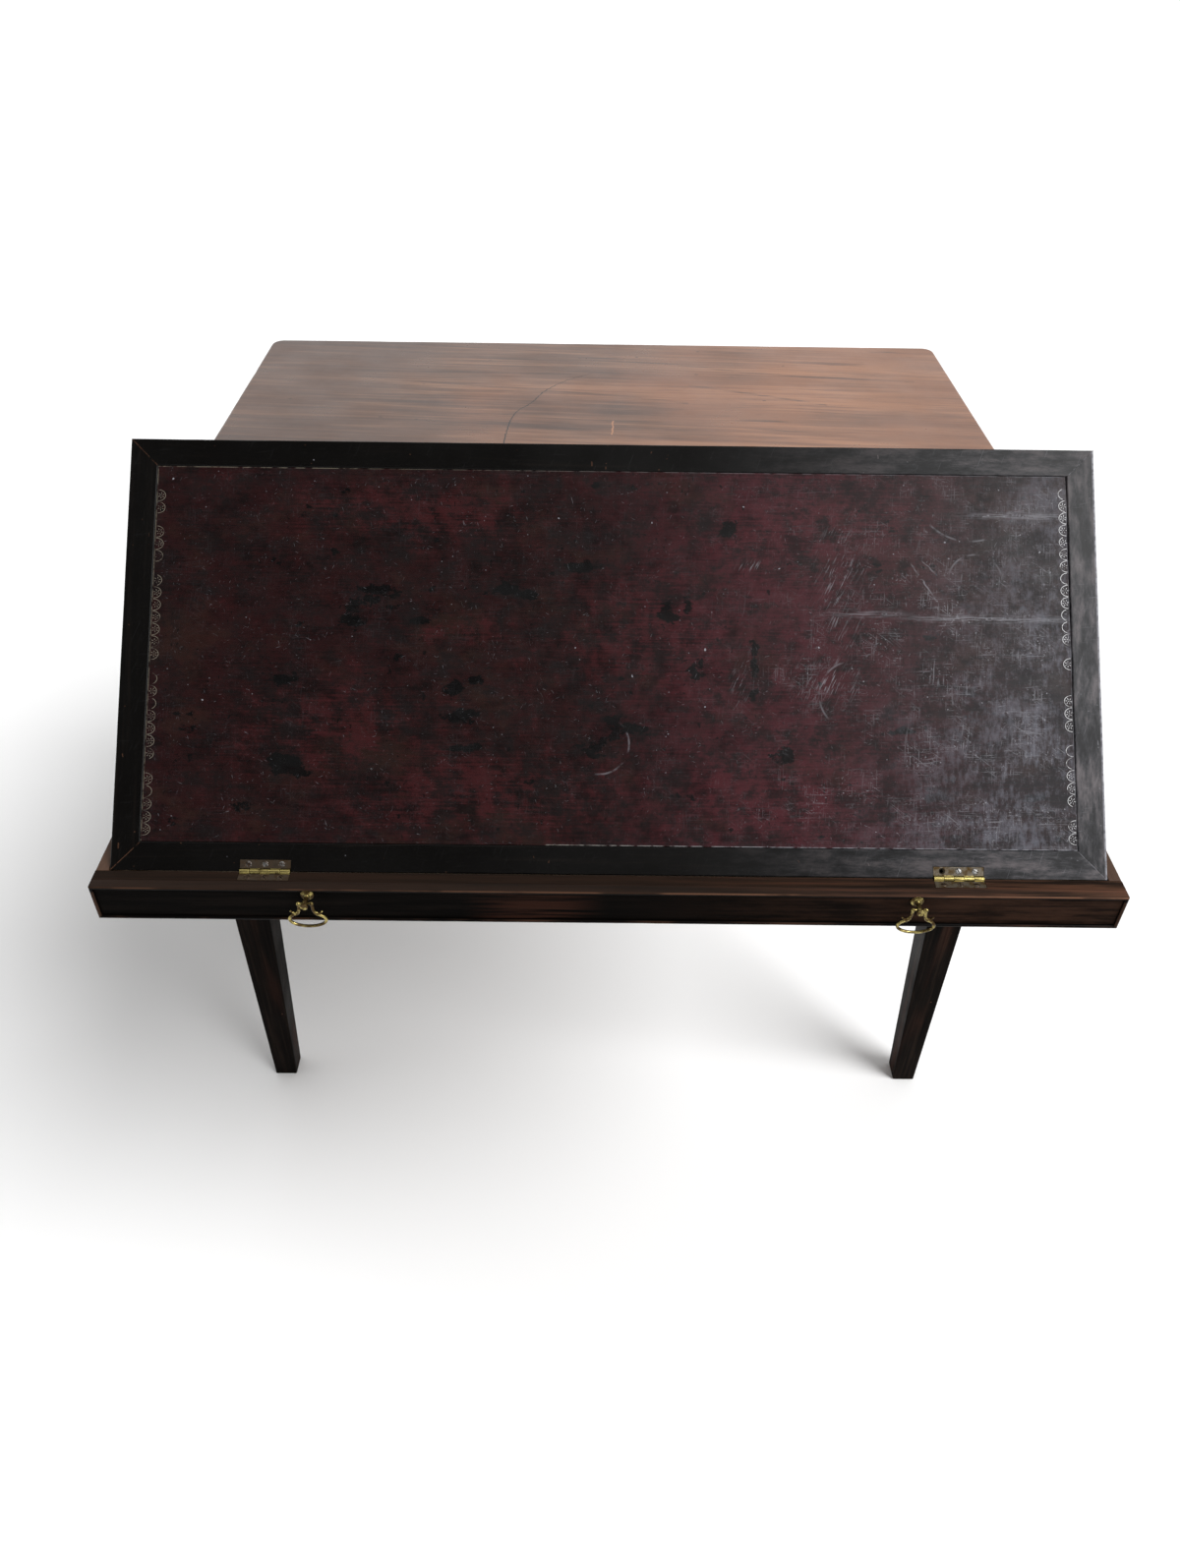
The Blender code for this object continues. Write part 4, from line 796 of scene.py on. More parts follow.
def oxblood_leather(colours):
    """Waxed hide with fine striations, ink stains, rubbed red patches, pale scuffs and a painted sheen on the
    right.
    """
    finish = Finish("oxblood_leather", specular=0.13)
    slope = in_slope(finish)
    axes = finish.axes(slope)
    right = finish.ramp(finish.weighted((axes["X"], 1.0), (axes["Y"], -0.35)), low=0.13, high=0.31)
    clouds = finish.noise(slope, scale=22.0, detail=8.0, roughness=0.70)
    fine = finish.noise(slope, scale=90.0, detail=7.0, roughness=0.72)
    striae = finish.noise(slope, stretch=HIDE_STRIAE, detail=4.0, roughness=0.64)
    ground = finish.weighted((clouds, 0.40), (fine, 0.35), (striae, 0.25))
    middle = finish.ramp(ground, low=0.42, high=0.54)
    finish.colour = finish.coat(colours.hide_dark, colours.hide_middle, middle)
    waxy = finish.clouds(slope, low=0.50, high=0.64, end=0.55, stretch=HIDE_WAX, detail=8.0, roughness=0.68)
    finish.paint(colours.hide_brown, waxy)
    red = finish.weighted((ground, 1.0), (finish.painted("rubbed"), 0.10))
    finish.paint(colours.hide_red, finish.ramp(red, low=0.54, high=0.66))
    sunned = finish.strip(axes["X"], low=0.05, high=0.24, soft=0.10)
    sunned = finish.both(sunned, finish.ramp(ground, low=0.42, high=0.56, start=0.25))
    finish.paint(colours.hide_sunned, sunned, share=0.50)
    smudges = finish.noise(slope, stretch=HIDE_SMUDGES, detail=9.0, roughness=0.76)
    finish.paint(colours.hide_dark, finish.ramp(smudges, low=0.50, high=0.64, end=0.85))
    finish.paint(colours.ink, leather_stains(finish, slope, fine))
    # A cool film painted on the right of the leather: partly wear, partly a painted sheen standing in for the
    # light reflected there.
    rain = finish.noise(slope, stretch=HIDE_RAIN, detail=6.0, roughness=0.76)
    film = finish.weighted((fine, 0.25), (rain, 0.35), (clouds, 0.40))
    film = finish.both(right, finish.ramp(film, low=0.46, high=0.59, start=0.10))
    finish.paint(colours.hide_film_and_sheen, film, share=0.60)
    marks = leather_scuffs(finish, slope)
    finish.paint(colours.hide_pale, marks, share=0.85)
    broken = finish.clouds(slope, low=0.38, high=0.56, scale=130.0, detail=4.0)
    fibres = finish.coat(colours.gilt, colours.hide_pale, finish.ramp(axes["X"], low=-0.2, high=0.2))
    finish.paint(fibres, finish.both(finish.painted("edge"), broken))
    pores = finish.cells(slope, HIDE_PORES)["Distance"]
    relief = finish.weighted((pores, 0.4), (striae, 1.2), (fine, 2.0))
    relief = finish.math("SUBTRACT", relief, marks)
    roughness = finish.ramp(smudges, low=0.36, high=0.64, start=0.31, end=0.45)
    return finish.close(roughness, relief, SURFACE_RELIEF)


def leather_stains(finish, slope, fine):
    """Ragged blots of ink and small dark pits."""
    ragged = finish.noise(slope, stretch=INK_RAGS, detail=6.0, roughness=0.68)
    blot = finish.weighted(
        (finish.painted("ink"), 1.0),
        (finish.math("SUBTRACT", fine, NOISE_MIDDLE), 2.4),
        (finish.math("SUBTRACT", ragged, NOISE_MIDDLE), 3.4),
    )
    blot = finish.ramp(blot, low=0.50, high=0.70)
    uneven = finish.swayed(slope, CRUMB_SWAY, CRUMB_SWAY_REACH)
    pits = finish.specks(uneven, per_metre=75.0, size=0.13, share=0.30)
    pinholes = finish.specks(uneven, per_metre=210.0, size=0.18, share=0.40)
    return finish.most(finish.both(blot, 0.94), finish.both(pits, 0.80), finish.both(pinholes, 0.75))


def leather_scuffs(finish, slope):
    """Fine scratches, ticks, rings, creases and pale specks, thickest on the right."""
    scuffed = finish.painted("scuffed")
    patchy = finish.clouds(slope, low=0.44, high=0.62, scale=36.0, detail=6.0, roughness=0.68)
    crossing = finish.most(
        finish.strokes(slope, turn=0.03, along=52.0, across=1300.0, shown=0.60),
        finish.strokes(slope, turn=-0.62, along=46.0, across=1100.0, shown=0.64),
        finish.strokes(slope, turn=1.52, along=75.0, across=1100.0, shown=0.60),
    )
    grit = finish.clouds(slope, low=0.58, high=0.70, scale=520.0, roughness=0.7)
    marks = [finish.both(crossing, patchy, scuffed, 0.55), finish.both(grit, patchy, scuffed)]
    ticks = [finish.strokes(slope, turn=1.10, along=190.0, across=1150.0, shown=0.70)]
    for turn in TICK_TURNS:
        ticks.append(finish.strokes(slope, turn, along=170.0, across=1050.0, shown=0.70))
    look = {"scale": 48.0, "detail": 4.0, "roughness": 0.7}
    faint = finish.clouds(slope, low=0.40, high=0.66, start=0.04, end=0.50, **look)
    faint = finish.both(faint, finish.ramp(scuffed, low=0.03, high=0.30, start=0.60))
    marks.append(finish.both(finish.most(*ticks), faint))
    broken = finish.clouds(slope, low=0.42, high=0.62, scale=85.0, detail=4.0)
    hatch = finish.strokes(slope, turn=1.12, along=85.0, across=1000.0, shown=0.58)
    hatch = finish.both(hatch, finish.painted("hatched"))
    marks.append(finish.both(hatch, finish.ramp(broken, low=0.0, high=1.0, start=0.15, end=0.55)))
    for centre, radius, facing in CUP_RINGS:
        ring = finish.ring(slope, centre, radius, CUP_RING_WIDTH, facing)
        marks.append(finish.both(ring, broken, 0.30))
    for points in LONG_SCRATCHES:
        scratch = finish.hairline(slope, points, LONG_SCRATCH_WIDTH)
        marks.append(finish.both(scratch, broken, 0.45))
    wandering = finish.axes(finish.swayed(slope, CREASE_SWAY, CREASE_SWAY_REACH))
    threads = finish.strokes(slope, turn=0.0, along=45.0, across=1500.0, shown=0.46)
    crumpled = finish.clouds(slope, low=0.46, high=0.60, scale=330.0)
    for start, end, line in CREASES:
        band = finish.strip(wandering["Y"], line - CREASE_BAND, line + CREASE_BAND, CREASE_BAND)
        core = finish.strip(wandering["Y"], line - CREASE_CORE, line + CREASE_CORE, CREASE_CORE_EDGE)
        crease = finish.most(finish.both(band, threads, 0.45), finish.both(core, crumpled, broken, 0.9))
        marks.append(finish.both(crease, finish.strip(wandering["X"], start, end, CREASE_END)))
    specks = finish.specks(slope, per_metre=120.0, size=0.075, share=0.30)
    marks.append(finish.both(specks, finish.ramp(scuffed, low=0.0, high=0.5, start=0.34, end=0.85)))
    uneven = finish.swayed(slope, SPECK_SWAY, SPECK_SWAY_REACH)
    marks.append(finish.both(finish.specks(uneven, per_metre=70.0, size=0.070, share=0.18), 0.90))
    return finish.most(*marks)


def worn_gilt(colours):
    """Tooled lines where only some of the gold is left, painted paler and fuller towards the right as a
    painted highlight.
    """
    finish = Finish("worn_gilt", specular=0.5)
    left = finish.clouds(finish.place, low=0.32, high=0.54, scale=180.0, detail=4.0)
    axes = finish.axes(finish.place)
    # Paler towards the right: a painted highlight on the tooling.
    cool = finish.coat(colours.gilt, colours.gilt_highlight, finish.ramp(axes["X"], low=-0.1, high=0.2))
    share = finish.both(left, finish.ramp(axes["X"], low=-0.2, high=0.2, start=0.50))
    finish.colour = finish.coat(colours.hide_middle, cool, share)
    fine = finish.noise(finish.place, scale=900.0)
    roughness = finish.ramp(fine, low=0.3, high=0.7, start=0.30, end=0.50)
    return finish.close(roughness, fine, SURFACE_RELIEF)


# Metal

FINE_PER_CLOUD = 9.0
KNUCKLE_INNER = 0.0023
KNUCKLE_OUTER = 0.0027
KNUCKLE_SHINE = -0.20
HINGE_RELIEF = 0.00004
FLOOR_DIMMEST = 0.995


def patinated(name, bright, dull, per_metre, low, high, smooth, rough):
    """Metal whose dull patina fills the places that no hand polishes."""
    finish = Finish(name, metallic=1.0, specular=0.5)
    clouds = finish.noise(finish.place, per_metre, detail=5.0, roughness=0.6)
    share = finish.ramp(clouds, low, high)
    finish.colour = finish.coat(bright, dull, share)
    fine = finish.noise(finish.place, per_metre * FINE_PER_CLOUD, detail=4.0)
    finish.paint(dull, finish.ramp(fine, low=0.58, high=0.74), share=0.6)
    roughness = finish.math("MULTIPLY_ADD", share, rough - smooth, smooth)
    return finish.close(roughness, finish.math("ADD", fine, clouds), SURFACE_RELIEF)


def hinge_brass(colours):
    """Tarnished leaves, painted darker on the left hinge as a painted shade, with knuckles that the turning
    hinge keeps bright.
    """
    finish = Finish("hinge_brass", metallic=1.0, specular=0.5)
    axes = finish.axes(finish.mapped(finish.place, location=-slope_origin))
    away = finish.math("SQRT", finish.weighted((axes["Y"], axes["Y"]), (axes["Z"], axes["Z"])))
    knuckle = finish.ramp(away, KNUCKLE_INNER, KNUCKLE_OUTER, 1.0, 0.0)
    clouds = finish.noise(finish.place, scale=190.0, detail=5.0, roughness=0.65)
    leaf = finish.coat(colours.tarnish, colours.bronze, finish.ramp(clouds, low=0.40, high=0.66))
    # The left hinge's leaves are painted darker with rust: a painted shade for the dark that they reflect,
    # partly tarnish.
    leaf = finish.coat(leaf, colours.rust, finish.ramp(axes["X"], low=-0.1, high=0.1, start=0.65, end=0.0))
    bright = finish.coat(colours.brass, colours.bronze, finish.ramp(clouds, low=0.52, high=0.74))
    finish.colour = finish.coat(leaf, bright, knuckle)
    roughness = finish.ramp(clouds, low=0.3, high=0.7, start=0.46, end=0.62)
    roughness = finish.math("MULTIPLY_ADD", knuckle, KNUCKLE_SHINE, roughness)
    fine = finish.noise(finish.place, scale=1400.0, detail=4.0)
    return finish.close(roughness, finish.math("ADD", fine, clouds), HINGE_RELIEF)


def plain_floor(studio):
    finish = Finish("pale_floor", specular=0.0)
    near = [level * FLOOR_DIMMEST for level in studio.floor]
    finish.colour = finish.coat(studio.floor, near, finish.noise(finish.place, scale=0.6, detail=2.0))
    finish.feed(finish.shader.inputs["Base Color"], finish.colour)
    finish.shader.inputs["Roughness"].default_value = 1.0
    return finish.material


def kept(name, make, *details, **settings):
    """The material of that name, made the first time that it is asked for."""
    return bpy.data.materials.get(name) or make(*details, **settings)


def dark_wood(colours, grain, shift=0.0):
    name = "mahogany_dark_%s_%d" % (grain, round(shift * 100))
    return kept(name, mahogany_dark, colours, name, grain, shift)


def lining(colours, grain, tilted=False):
    name = "oak_lining_%s%s" % (grain, "_tilted" if tilted else "")
    return kept(name, oak_lining, colours, name, grain, tilted)


# Brasses and steels: bright and dull colour, clouds to a metre, where the patina begins and is
# full, and the roughness of both
METALS = {
    "handle_brass": ("brass", "bronze", 260.0, 0.36, 0.56, 0.24, 0.44),
    "bracket_brass": ("tarnish", "bronze", 190.0, 0.42, 0.70, 0.44, 0.60),
    "bright_steel": ("steel", "rust", 420.0, 0.46, 0.68, 0.44, 0.60),
    # Steel of the left hinge's upper screws: more rust than bright_steel, and darker as a painted shade.
    "worn_steel": ("steel", "rust", 420.0, 0.34, 0.60, 0.44, 0.60),
    "dull_steel": ("rust", "tarnish", 420.0, 0.40, 0.70, 0.40, 0.60),
}


def metal(colours, name):
    bright, dull, *look = METALS[name]
    return kept(name, patinated, name, getattr(colours, bright), getattr(colours, dull), *look)


# Shapes

WELD = 1e-5
CUT = 1e-7
FLAT_ANGLE = math.radians(1.0)
ARRIS_ANGLE = math.radians(30.0)
SMOOTH_ANGLE = math.radians(38.0)
DRESSED_ANGLE = math.radians(50.0)
DRESSED_ARRIS = 0.0003
NARROW_FACE = 0.0016
RUB_PER_METRE = 38.0
RUB_FINE = 4.0
RUB_FINE_SHARE = 0.4
RUB_POWER = 1.5


def body_of(node):
    return frame["nodes"][node]["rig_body"]


def mesh_from(name, shape):
    mesh = bpy.data.meshes.new(name)
    bmesh.ops.recalc_face_normals(shape, faces=shape.faces)
    shape.to_mesh(mesh)
    shape.free()
    return mesh


def object_from(name, data):
    thing = bpy.data.objects.new(name, data)
    bpy.context.scene.collection.objects.link(thing)
    return thing


def place_mesh(name, mesh, material, body, nodes=(), widest_round=None):
    """A finished piece that rides on a body; its flats, if it has any, are wider than its rounded faces."""
    mesh.materials.append(material)
    mesh.set_sharp_from_angle(angle=SMOOTH_ANGLE)
    rounded = [widest_round is None or face.area < widest_round for face in mesh.polygons]
    mesh.polygons.foreach_set("use_smooth", rounded)
    thing = object_from(name, mesh)
    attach(thing, body)
    if nodes:
        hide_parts(*nodes)
    return thing


def place(name, shape, material, body, slot, nodes=(), widest_round=None):
    return place_mesh(name, mesh_from(name, shape), material, body, nodes, widest_round)


def dress(node, material, arris=DRESSED_ARRIS):
    """Gives a node that keeps its own shape its finish and slightly softened arrises."""
    thing = frame["nodes"][node]
    for holder in thing.material_slots:
        holder.material = material
    weld = thing.modifiers.new("weld", "WELD")
    weld.merge_threshold = WELD
    soften = thing.modifiers.new("soften", "BEVEL")
    soften.width = arris
    soften.segments = 2
    soften.limit_method = "ANGLE"
    soften.angle_limit = DRESSED_ANGLE


def solid_of(node):
    """The node's solid, welded, with one face to each flat."""
    shape = bmesh.new()
    shape.from_mesh(frame["nodes"][node].data)
    bmesh.ops.remove_doubles(shape, verts=shape.verts, dist=WELD)
    bmesh.ops.dissolve_limit(shape, angle_limit=FLAT_ANGLE, verts=shape.verts, edges=shape.edges)
    return shape


def round_arrises(shape, radius, shortest):
    arrises = []
    for edge in shape.edges:
        if len(edge.link_faces) == 2 and edge.is_convex and edge.calc_length() > shortest:
            if edge.calc_face_angle() > ARRIS_ANGLE:
                arrises.append(edge)
    bmesh.ops.bevel(
        shape,
        geom=arrises,
        offset=radius,
        offset_type="OFFSET",
        segments=3,
        profile=0.5,
        affect="EDGES",
        clamp_overlap=False,
    )


def cut_into_runs(shape, along, spacing):
    """Cuts the shape across its length, so that its arrises can be worn unevenly."""
    reach = [vert.co.dot(along) for vert in shape.verts]
    count = int((max(reach) - min(reach)) / spacing)
    for step in range(1, count):
        at = min(reach) + (max(reach) - min(reach)) * step / count
        everything = shape.verts[:] + shape.edges[:] + shape.faces[:]
        bmesh.ops.bisect_plane(shape, geom=everything, dist=CUT, plane_co=along * at, plane_no=along)


def rub(shape, depth, run, per_metre=RUB_PER_METRE):
    """Wears the rounded arrises back by an uneven depth; the flats between them stay flat."""
    shape.normal_update()
    moves = []
    for vert in shape.verts:
        if max(face.calc_area() for face in vert.link_faces) < NARROW_FACE * run:
            place_there = vert.co * per_metre
            share = noise.noise(place_there) + RUB_FINE_SHARE * noise.noise(place_there * RUB_FINE)
            moves.append((vert, vert.normal * (depth * max(0.0, share) ** RUB_POWER)))
    for vert, move in moves:
        vert.co -= move


def worn_board(node, name, along, material, sizes, shortest):
    """A node's board with rounded and unevenly rubbed arrises."""
    shape = solid_of(node)
    round_arrises(shape, sizes.arris, shortest)
    cut_into_runs(shape, along, sizes.run)
    rub(shape, sizes.rub, sizes.run)
    return place(name, shape, material, body_of(node), "mahogany_dark", [node], NARROW_FACE * sizes.run)


def outline_with_corners(low, high, inset, radius, steps):
    """Rounded rectangle inside low and high, from the right front corner round to the left."""
    points = []
    reach = radius - inset
    middle = (low + high) / 2.0
    for turn, (x, y) in enumerate(((high.x, low.y), (high.x, high.y), (low.x, high.y), (low.x, low.y))):
        centre = Vector((x - math.copysign(radius, x - middle.x), y - math.copysign(radius, y - middle.y)))
        for step in range(steps + 1):
            angle = math.radians(-90.0 + turn * 90.0 + 90.0 * step / steps)
            points.append((centre.x + reach * math.cos(angle), centre.y + reach * math.sin(angle)))
    return points


def skin_rings(shape, rings):
    """Quads between rings of vertices, with a face over each end."""
    made = [[shape.verts.new(point) for point in ring] for ring in rings]
    for first, second in zip(made, made[1:]):
        for index in range(len(first)):
            after = (index + 1) % len(first)
            shape.faces.new((first[index], first[after], second[after], second[index]))
    shape.faces.new(list(reversed(made[0])))
    shape.faces.new(made[-1])


def turned(shape, profile, sides, matrix):
    """A turning about Z of the matrix, from (height, radius) pairs."""
    angles = [FULL_TURN * side / sides for side in range(sides)]
    rings = []
    for height, radius in profile:
        rings.append([matrix @ Vector((radius * math.cos(a), radius * math.sin(a), height)) for a in angles])
    skin_rings(shape, rings)


def flowing(start, end, steps):
    """(height, radius) pairs that leave and arrive square to the axis."""
    pairs = []
    for step in range(steps + 1):
        share = step / steps
        ease = (1.0 - math.cos(math.pi * share)) / 2.0
        pairs.append((start[0] + (end[0] - start[0]) * share, start[1] + (end[1] - start[1]) * ease))
    return pairs


def quarter_round(height, radius, reach, rising, steps=5):
    """(height, radius) pairs round a disc's edge: rising out to its rim, or in from it."""
    pairs = []
    for step in range(steps + 1):
        angle = QUARTER_TURN * (step / steps if rising else 1.0 - step / steps)
        lift = reach * (1.0 - math.cos(angle))
        along = height + (lift if rising else reach - lift)
        pairs.append((along, radius - reach + reach * math.sin(angle)))
    return pairs


def wire(shape, path, radii, sides, matrix):
    """A round wire along points in the XZ plane of the matrix."""
    angles = [FULL_TURN * side / sides for side in range(sides)]
    rings = []
    last = len(path) - 1
    for index, (point, radius) in enumerate(zip(path, radii)):
        heading = (path[min(index + 1, last)] - path[max(index - 1, 0)]).normalized()
        across = Vector((-heading.z, 0.0, heading.x))
        spokes = [across * math.cos(a) + Y_AXIS * math.sin(a) for a in angles]
        rings.append([matrix @ (point + spoke * radius) for spoke in spokes])
    skin_rings(shape, rings)


def bezier(start, lead, follow, end, steps):
    points = []
    for step in range(steps + 1):
        share = step / steps
        rest = 1.0 - share
        point = start * rest**3 + lead * (3.0 * rest**2 * share)
        points.append(point + follow * (3.0 * rest * share**2) + end * share**3)
    return points


def baked(thing):
    """The mesh of a scratch object with its modifiers applied; the object is removed."""
    depsgraph = bpy.context.evaluated_depsgraph_get()
    mesh = bpy.data.meshes.new_from_object(thing.evaluated_get(depsgraph))
    bpy.data.objects.remove(thing)
    return mesh


def without(name, shape, cutter_shape):
    """The first shape with the second cut out of it, as a mesh."""
    thing = object_from(name, mesh_from(name, shape))
    cutter = object_from(name + "_cutter", mesh_from(name + "_cutter", cutter_shape))
    cut = thing.modifiers.new("cut", "BOOLEAN")
    cut.operation = "DIFFERENCE"
    cut.solver = "EXACT"
    cut.object = cutter
    mesh = baked(thing)
    bpy.data.objects.remove(cutter)
    return mesh


# Operators, one for each piece or group of like pieces


def settings(context):
    return context.scene.desk_sizes, context.scene.desk_colours



FLOOR_DROP = 0.0002
FLOOR_SQUARES = 8


class DESK_OT_studio(Operator):
    """Set the camera, the light and the floor"""

    bl_idname = "desk.studio"
    bl_label = "Studio"

    def execute(self, context):
        studio = context.scene.desk_studio
        context.scene.view_settings.view_transform = "Standard"
        self.set_camera(context, studio)
        self.set_key_light(studio)
        self.set_surround(context, studio)
        self.lay_floor(studio)
        return {"FINISHED"}

    def set_camera(self, context, studio):
        level = Vector((math.sin(studio.camera_yaw), math.cos(studio.camera_yaw), 0.0))
        right = Vector((math.cos(studio.camera_yaw), -math.sin(studio.camera_yaw), 0.0))
        ahead = level * math.cos(studio.camera_pitch) - Z_AXIS * math.sin(studio.camera_pitch)
        above = level * math.sin(studio.camera_pitch) + Z_AXIS * math.cos(studio.camera_pitch)
        leaning_right = right * math.cos(studio.camera_roll) + above * math.sin(studio.camera_roll)
        leaning_up = above * math.cos(studio.camera_roll) - right * math.sin(studio.camera_roll)
        data = bpy.data.cameras.new("camera")
        data.lens = studio.camera_lens
        data.sensor_fit = "AUTO"
        camera = object_from("camera", data)
        turn = Matrix((leaning_right, leaning_up, -ahead)).transposed()
        camera.matrix_world = Matrix.Translation(studio.camera_place) @ turn.to_4x4()
        context.scene.camera = camera

    def set_key_light(self, studio):
        data = bpy.data.lights.new("key_light", "SUN")
        data.energy = studio.key_strength
        data.angle = studio.key_spread
        level = math.cos(studio.key_height)
        ahead = -level * math.sin(studio.key_turn)
        towards = Vector((level * math.cos(studio.key_turn), ahead, math.sin(studio.key_height)))
        light = object_from("key_light", data)
        light.rotation_euler = towards.to_track_quat("Z", "Y").to_euler()

    def set_surround(self, context, studio):
        """White all round, but for a dark screen that hangs in front, above the camera."""
        world = bpy.data.worlds.new("studio")
        world.use_nodes = True
        sky = Nodes(world.node_tree)
        background = world.node_tree.nodes["Background"]
        direction = sky.add("ShaderNodeTexCoord").outputs["Generated"]
        drawn_in = sky.vectors("MULTIPLY", direction, (studio.screen_narrow, 1.0, 1.0))["Vector"]
        heading = sky.vectors("NORMALIZE", drawn_in)["Vector"]
        screen_way = (0.0, -math.cos(studio.screen_height), math.sin(studio.screen_height))
        facing = sky.vectors("DOT_PRODUCT", heading, screen_way)["Value"]
        shade = sky.ramp(facing, math.cos(studio.screen_outer), math.cos(studio.screen_inner))
        sky.feed(background.inputs["Color"], sky.coat(studio.wall, studio.screen, shade))
        path = sky.add("ShaderNodeLightPath").outputs
        seen = sky.most(path["Is Camera Ray"], path["Is Glossy Ray"], path["Is Transmission Ray"])
        strength = sky.ramp(seen, 0.0, 1.0, start=studio.fill, step="LINEAR")
        sky.feed(background.inputs["Strength"], strength)
        context.scene.world = world

    def lay_floor(self, studio):
        shape = bmesh.new()
        squares = {"x_segments": FLOOR_SQUARES, "y_segments": FLOOR_SQUARES}
        bmesh.ops.create_grid(shape, size=studio.floor_reach, **squares)
        mesh = bpy.data.meshes.new("floor")
        shape.to_mesh(mesh)
        shape.free()
        mesh.materials.append(plain_floor(studio))
        floor = object_from("floor", mesh)
        floor.location.z = -FLOOR_DROP


EDGE_STEPS = 8
CORNER_STEPS = 12
TOP_RUN = 1.2
TOP_RUB = 2.0
TOP_RUB_PER_METRE = 24.0
TOP_WAVES = Vector((3.0, 9.0, 0.0))
TOP_WAVE_START = Vector((0.0, 0.0, 0.3))
LEVEL_WEIGHT = 80


class DESK_OT_table_top(Operator):
    """Make the table top, a little out of flat, with a rounded and knocked edge"""

    bl_idname = "desk.table_top"
    bl_label = "Table Top"

    def execute(self, context):
        sizes = context.scene.desk_sizes
        edge = sizes.top_edge
        low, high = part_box("table_top")
        rings = []
        for turn in range(-EDGE_STEPS, EDGE_STEPS + 1):
            angle = QUARTER_TURN * turn / EDGE_STEPS
            height = high.z - edge if turn > 0 else low.z + edge
            height += edge * math.sin(angle)
            inset = edge * (1.0 - math.cos(angle))
            outline = outline_with_corners(low, high, inset, sizes.top_corner, CORNER_STEPS)
            rings.append([(x, y, height) for x, y in outline])
            if turn == 0:
                rings.append([(x, y, high.z - edge) for x, y in outline])
        shape = bmesh.new()
        skin_rings(shape, rings)
        run = sizes.run * TOP_RUN
        cut_into_runs(shape, X_AXIS, run)
        cut_into_runs(shape, Y_AXIS, run)
        rub(shape, sizes.rub * TOP_RUB, run, TOP_RUB_PER_METRE)
        for vert in shape.verts:
            if vert.co.z > high.z - edge / 2.0:
                wave = noise.noise(vert.co * TOP_WAVES + TOP_WAVE_START)
                vert.co.z -= sizes.top_hollow * (0.5 + 0.5 * wave)
        material = mahogany_top(context.scene.desk_colours)
        board_top = place("top_board", shape, material, body_of("table_top"), "mahogany_top", ["table_top"])
        level = board_top.modifiers.new("level", "WEIGHTED_NORMAL")
        level.weight = LEVEL_WEIGHT
        level.keep_sharp = True
        return {"FINISHED"}


LEG_SHIFT = 0.37
RAIL_SHIFT = 0.6
SIDE_RAIL_SHIFT = 0.9
LEG_SHORTEST = 0.05


class DESK_OT_stand(Operator):
    """Make the legs and dress the rails and the drawer's ways"""

    bl_idname = "desk.stand"
    bl_label = "Stand"

    def execute(self, context):
        sizes, colours = settings(context)
        legs = [(end, side) for end in ("front", "back") for side in SIDES]
        for count, (end, side) in enumerate(legs, 1):
            wood = dark_wood(colours, "Z", LEG_SHIFT * count)
            node = "leg_%s_%s" % (end, side)
            worn_board(node, "%s_%s_leg" % (end, side), Z_AXIS, wood, sizes, LEG_SHORTEST)
        for node in ("back_rail", "front_top_rail", "front_bottom_rail"):
            dress(node, dark_wood(colours, "X", RAIL_SHIFT))
        for side in SIDES:
            dress("side_rail_" + side, dark_wood(colours, "Y", SIDE_RAIL_SHIFT))
            for way in ("drawer_runner_", "drawer_kicker_", "drawer_guide_", "glue_strip_"):
                dress(way + side, lining(colours, "Y"))
        return {"FINISHED"}


FRONT_ARRIS = 0.00012
SIDE_ARRIS = 0.0006
RACK_ARRIS = 0.0002
BEAD_RUB = 0.7
BEAD_RUB_PER_METRE = 60.0


class DESK_OT_drawer(Operator):
    """Make the drawer's cock beads, and dress its front and its box"""

    bl_idname = "desk.drawer"
    bl_label = "Drawer"

    def execute(self, context):
        sizes, colours = settings(context)
        dress("drawer_front", drawer_front_polish(colours), FRONT_ARRIS)
        for edge, grain in (("top", "X"), ("bottom", "X"), ("left", "Z"), ("right", "Z")):
            node = "cock_bead_" + edge
            wood = kept("cock_bead_" + grain, cock_bead_polish, colours, "cock_bead_" + grain, grain)
            shape = solid_of(node)
            cut_into_runs(shape, X_AXIS if grain == "X" else Z_AXIS, sizes.run)
            rub(shape, sizes.rub * BEAD_RUB, sizes.run, BEAD_RUB_PER_METRE)
            place("bead_" + edge, shape, wood, body_of(node), "mahogany_dark", [node])
        for side in SIDES:
            dress("drawer_side_" + side, lining(colours, "Y"), SIDE_ARRIS)
            dress("slope_bearer_" + side, lining(colours, "Y"))
            dress("prop_rack_" + side, lining(colours, "Y"), RACK_ARRIS)
        for node in ("drawer_back", "drawer_bottom", "drawer_stop_batten"):
            dress(node, lining(colours, "X"))
        return {"FINISHED"}


# Width of the slope's open mitres, as the solids have them
GLUE_LINE = 0.0002
FACING = 0.99
BORDER_SHORTEST = 0.2


